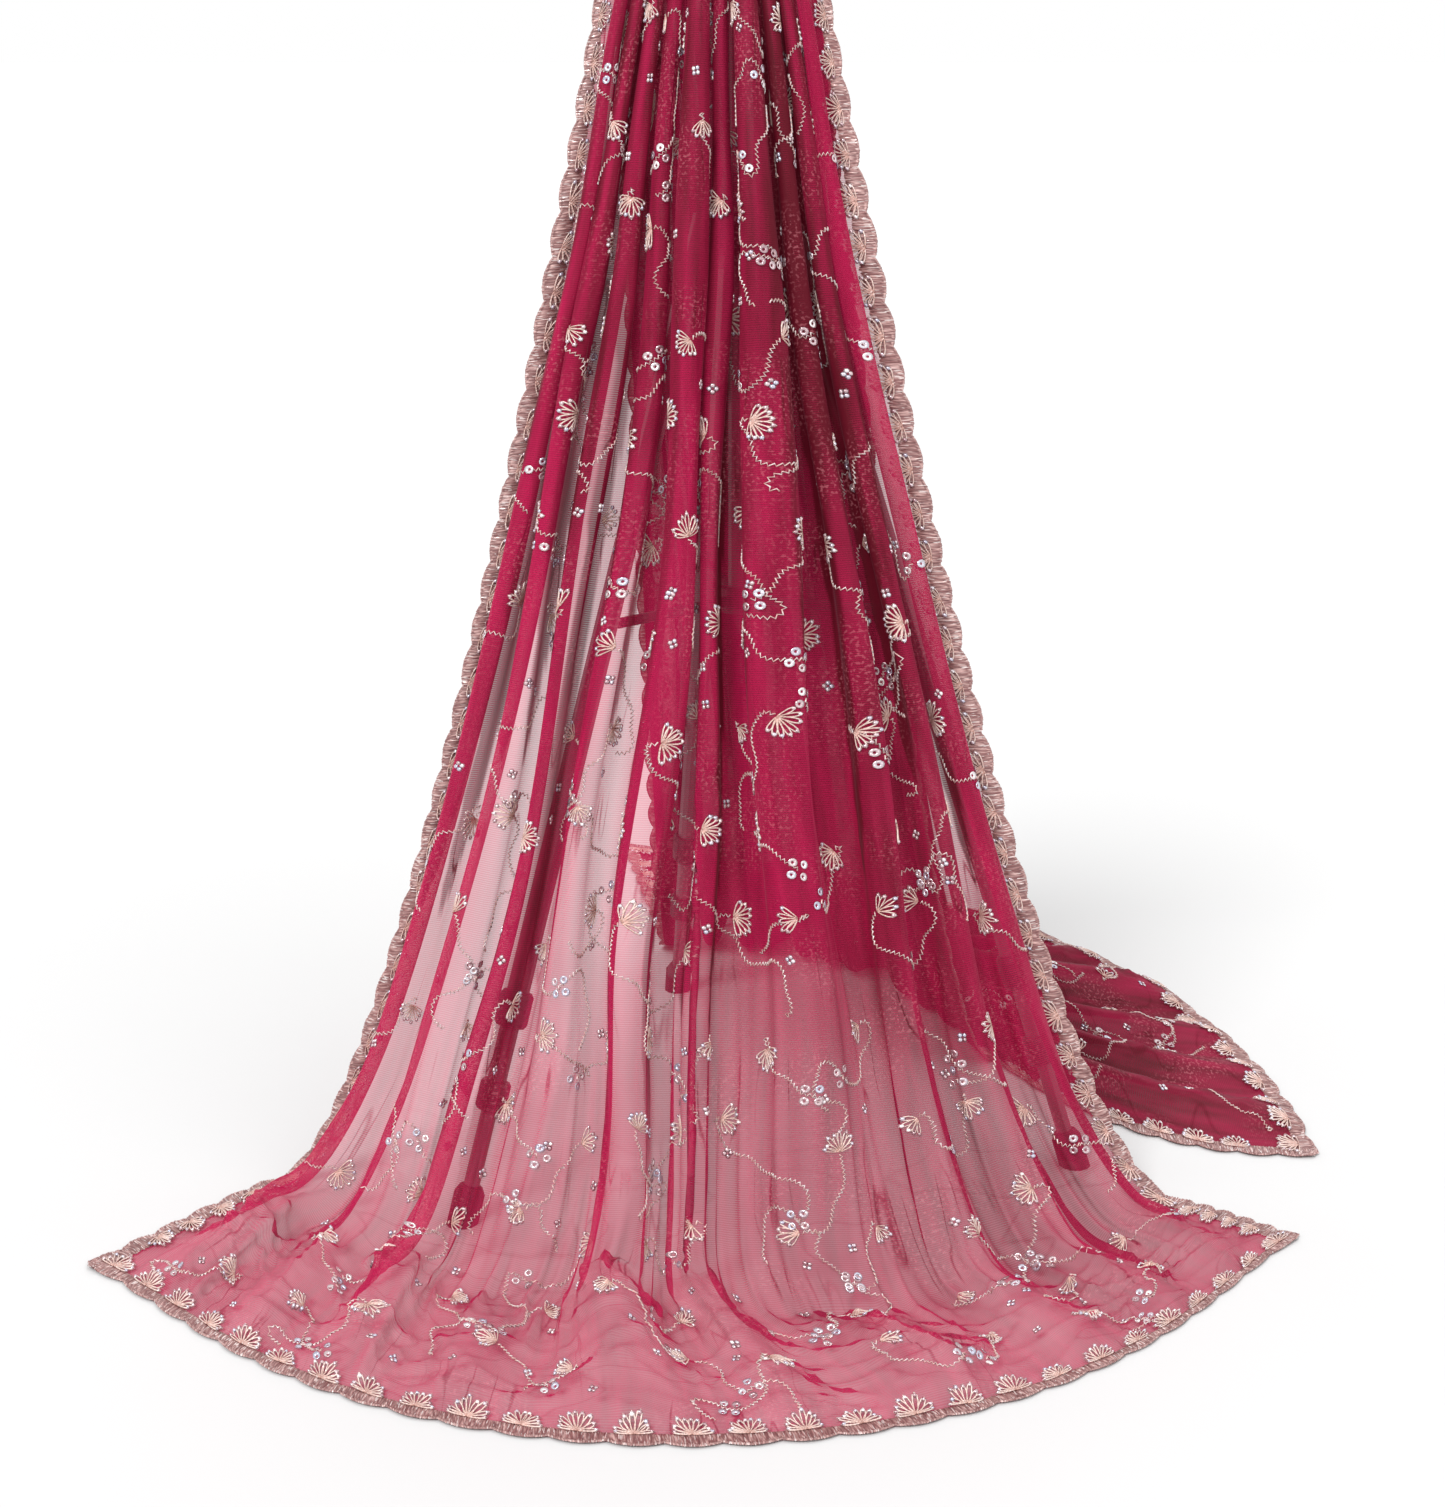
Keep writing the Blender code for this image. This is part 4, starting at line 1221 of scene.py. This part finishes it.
class DUPATTA_OT_stage(bpy.types.Operator):
    """Makes the pale floor, the soft light and the camera"""

    bl_idname = "dupatta.stage"
    bl_label = "Stage"

    def execute(self, context):
        settings = context.scene.dupatta_stage
        bm = bmesh.new()
        bmesh.ops.create_grid(bm, x_segments=2, y_segments=2, size=60.0)
        mesh = bpy.data.meshes.new("studio_floor")
        bm.to_mesh(mesh)
        bm.free()
        floor_finish, tree, shader = new_material("pale studio floor")
        place = add_node(tree, "ShaderNodeTexCoord").outputs["Object"]
        light = rgba(settings.floor_colour)
        dark = rgba([part * 0.985 for part in settings.floor_colour])
        colour = blend_colours(tree, noise(tree, place, 2.0, 2.0), light, dark)
        fill(tree, shader, {"Base Color": colour, "Roughness": 0.8, "Specular IOR Level": 0.1})
        mesh.materials.append(floor_finish)
        floor = bpy.data.objects.new("studio_floor", mesh)
        context.scene.collection.objects.link(floor)
        world = bpy.data.worlds.new("studio light")
        world.use_nodes = True
        background = world.node_tree.nodes["Background"]
        background.inputs["Color"].default_value = (1.0, 1.0, 1.0, 1.0)
        background.inputs["Strength"].default_value = settings.sky_strength
        context.scene.world = world
        for name, turn, tilt, strength, spread in (
            ("key", -32.0, 42.0, settings.key_strength, 22.0),
            ("fill", 48.0, 55.0, settings.key_strength * 0.23, 40.0),
            ("rim", 165.0, 50.0, settings.key_strength * 0.13, 40.0),
        ):
            lamp = bpy.data.lights.new(name, "SUN")
            lamp.energy = strength
            lamp.angle = math.radians(spread)
            made = bpy.data.objects.new(name, lamp)
            made.rotation_euler = (math.radians(tilt), 0.0, math.radians(turn))
            context.scene.collection.objects.link(made)
        seen = bpy.data.cameras.new("camera")
        seen.lens = settings.lens
        seen.sensor_width = 36.0
        camera = bpy.data.objects.new("camera", seen)
        camera.location = (
            STAND_X + settings.camera_aside,
            STAND_Y - settings.camera_back,
            settings.camera_height,
        )
        camera.rotation_euler = (math.pi / 2 - settings.camera_pitch, 0.0, 0.0)
        context.scene.collection.objects.link(camera)
        context.scene.camera = camera
        context.scene.cycles.transparent_max_bounces = NET_LAYERS_SEEN
        context.scene.view_settings.view_transform = "Standard"
        return {"FINISHED"}


class DUPATTA_OT_net(bpy.types.Operator):
    """Drapes the ribbed net over the bar and spreads it on the floor"""

    bl_idname = "dupatta.net"
    bl_label = "Net ground"

    def execute(self, context):
        grid = cloth()
        inner_points = grid.points[1:-1, 1:-1]
        rows, columns = inner_points.shape[:2]
        bm = bmesh.new()
        made = bmesh.ops.create_grid(bm, x_segments=columns - 1, y_segments=rows - 1, size=0.5)
        across = np.rint(np.array([v.co.x + 0.5 for v in made["verts"]]) * (columns - 1)).astype(int)
        along = np.rint(np.array([v.co.y + 0.5 for v in made["verts"]]) * (rows - 1)).astype(int)
        along = rows - 1 - along
        for vertex, point in zip(made["verts"], inner_points[along, across]):
            vertex.co = point
        mesh = bpy.data.meshes.new("net_ground")
        bm.to_mesh(mesh)
        bm.free()
        places = np.stack((grid.columns[1:-1][across], grid.rows[1:-1][along]), -1)
        set_map(mesh, "cut", places)
        depth, cover = net_shading(places[:, 0], places[:, 1], grid.painted_fold_shade[1:-1, 1:-1][along, across])
        set_values(mesh, "depth", depth)
        set_values(mesh, "cover", cover)
        set_values(mesh, "lying", eased(np.abs(places[:, 1]), 0.78, 0.98))
        mesh.shade_smooth()
        net = show("net_ground", mesh, net_material(context.scene.dupatta))
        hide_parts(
            "cloth_front_fall",
            "cloth_over_bar",
            "cloth_back_fall",
            "cloth_front_spread",
            "cloth_back_spread",
        )
        return {"FINISHED"}


class DUPATTA_OT_border(bpy.types.Operator):
    """Works the scalloped satin band along all four edges"""

    bl_idname = "dupatta.border"
    bl_label = "Satin border"

    def execute(self, context):
        settings = context.scene.dupatta
        shades = (settings.satin_dark, settings.satin_light, settings.satin_glint)
        satin = thread_material("rose satin stitch", *shades, 300.0, 0.5, 0.2)
        border = build_border(settings, satin)
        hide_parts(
            "border_front_hem",
            "border_back_hem",
            "border_left_front",
            "border_right_front",
            "border_left_back",
            "border_right_back",
        )
        return {"FINISHED"}


class DUPATTA_OT_embroidery(bpy.types.Operator):
    """Works the fans, vines, sequin clusters and small sequin flowers"""

    bl_idname = "dupatta.embroidery"
    bl_label = "Embroidery"

    def execute(self, context):
        settings = context.scene.dupatta
        rng = random.Random(77)
        fans, clusters, vines, flowers = field_layout(settings)
        radius = settings.thread_radius
        shades = (settings.thread_dark, settings.thread_light, settings.thread_tip)
        thread = thread_material("looped fan thread", *shades, 260.0, 0.5, 0.20)
        shades = (settings.vine_dark, settings.vine_light, (1.0, 1.0, 1.0))
        vine_thread = thread_material("twisted vine thread", *shades, 200.0, 0.4, 0.15)
        loop_points, loop_faces = petal(settings.petal_length, settings.petal_width, radius)
        tip_bead = bead(settings.petal_width * 0.46, 0.0010, 5)
        cup = cup_sequin(settings.sequin_radius, settings.sequin_radius * CUP_HOLE_SHARE, CUP_DEPTH)
        leaf = bead(0.0019, 0.0008, 6)
        field = Stitches()
        rim = Stitches()
        glass = Stitches()

        def fan(target, across, along, turn, size, petals, spread, lift):
            """Looped petals side by side, each with a clear bead at its tip."""
            shade = rng.random()
            for number in range(petals):
                share = number / (petals - 1) - 0.5
                bent = turn + share * spread + rng.uniform(-0.08, 0.08)
                reach = size * (1.0 - 0.16 * abs(share * 2) ** 2) * rng.uniform(0.86, 1.08)
                up = lift + rng.uniform(0.0, 0.0004)
                scaled = loop_points * np.array((size * rng.uniform(0.85, 1.15), reach, 1.0))
                target.stamp((scaled, loop_faces), across, along, bent, up, shade, 1.0)
                out = settings.petal_length * reach * BEAD_PLACE
                at_x = across - math.sin(bent) * out
                at_y = along + math.cos(bent) * out
                glass.stamp(tip_bead, at_x, at_y, rng.uniform(0, 3), up + radius * 0.3, rng.random())

        def ring(shape, across, along, turn, count, spacing, lift, turned):
            """Small shapes evenly round a place."""
            for number in range(count):
                angle = turn + number * 2 * math.pi / count
                at_x = across + math.cos(angle) * spacing
                at_y = along + math.sin(angle) * spacing
                glass.stamp(shape, at_x, at_y, angle if turned else 0.0, lift, rng.random())

        for across, along, turn, size, petals in fans:
            fan(field, across, along, turn, size, petals, math.radians(18.0 * petals), radius)
        for across, along, turn, size in edge_fans():
            fan(rim, across, along, turn, size * 1.08, 9, math.radians(158.0), radius + 0.0007)
        for across, along, turn, count in clusters:
            ring(cup, across, along, turn, count, CLUSTER_REACH, 0.0003, False)
        for across, along, turn in flowers:
            ring(leaf, across, along, turn, 4, FLOWER_REACH, 0.0002, True)
        field.piece("field_fans", thread)
        rim.piece("border_fans", thread)
        glass.piece("sequins", sequin_material())
        trail = Stitches()
        for corners in vines:
            smooth = curve_points(corners, settings.vine_step)
            line = zigzag(smooth, settings.vine_reach, rng.uniform(0.002, 0.005), rng.uniform(0, 6))
            points, faces = thread_tube(line, radius * 1.02, radius * 0.8)
            # Painted glints: every other stitch paled towards white, for the twist of the thread
            glints = np.repeat([number % 2 * rng.uniform(0.2, 1.3) for number in range(len(line))], 3)
            trail.add(points, faces, glints, rng.random())
        trail.piece("vines", vine_thread)
        return {"FINISHED"}


class DUPATTA_OT_stand(bpy.types.Operator):
    """Finishes the stand's tubes, mouldings and feet"""

    bl_idname = "dupatta.stand"
    bl_label = "Stand"

    def execute(self, context):
        tube = stand_material("dark anodised tube", (0.17, 0.14, 0.145), 0.30, 0.60, 1400.0, 0.05)
        moulding = stand_material("black moulded grip", (0.022, 0.018, 0.020), 0.50, 0.0, 700.0, 0.25)
        rubber = stand_material("black rubber foot", (0.016, 0.015, 0.015), 0.72, 0.0, 500.0, 0.35)
        for name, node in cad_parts.items():
            if name.startswith(("cloth_", "border_")):
                continue
            if name.startswith("foot_"):
                finish = rubber
            elif name == "bar" or name.startswith(("column_", "leg_")):
                finish = tube
            else:
                finish = moulding
            for slot in node.material_slots:
                slot.material = finish
        return {"FINISHED"}


class DUPATTA_PT_panel(bpy.types.Panel):
    """Lists the pieces of the stole in the sidebar"""

    bl_label = "Dupatta stole"
    bl_idname = "DUPATTA_PT_panel"
    bl_space_type = "VIEW_3D"
    bl_region_type = "UI"
    bl_category = "Dupatta"

    def draw(self, context):
        for operator in OPERATORS:
            self.layout.operator(operator.bl_idname)
        for group in (context.scene.dupatta, context.scene.dupatta_stage):
            box = self.layout.box()
            for name in group.__annotations__:
                box.prop(group, name)


OPERATORS = (DUPATTA_OT_stage, DUPATTA_OT_net, DUPATTA_OT_border, DUPATTA_OT_embroidery, DUPATTA_OT_stand)
CLASSES = (DupattaSettings, StageSettings, *OPERATORS, DUPATTA_PT_panel)


def register():
    for cls in CLASSES:
        bpy.utils.register_class(cls)
    bpy.types.Scene.dupatta = PointerProperty(type=DupattaSettings)
    bpy.types.Scene.dupatta_stage = PointerProperty(type=StageSettings)


def unregister():
    del bpy.types.Scene.dupatta_stage
    del bpy.types.Scene.dupatta
    for cls in reversed(CLASSES):
        bpy.utils.unregister_class(cls)


def main():
    register()
    bpy.ops.dupatta.stage()
    bpy.ops.dupatta.net()
    bpy.ops.dupatta.border()
    bpy.ops.dupatta.embroidery()
    bpy.ops.dupatta.stand()


if __name__ == "__main__":
    main()
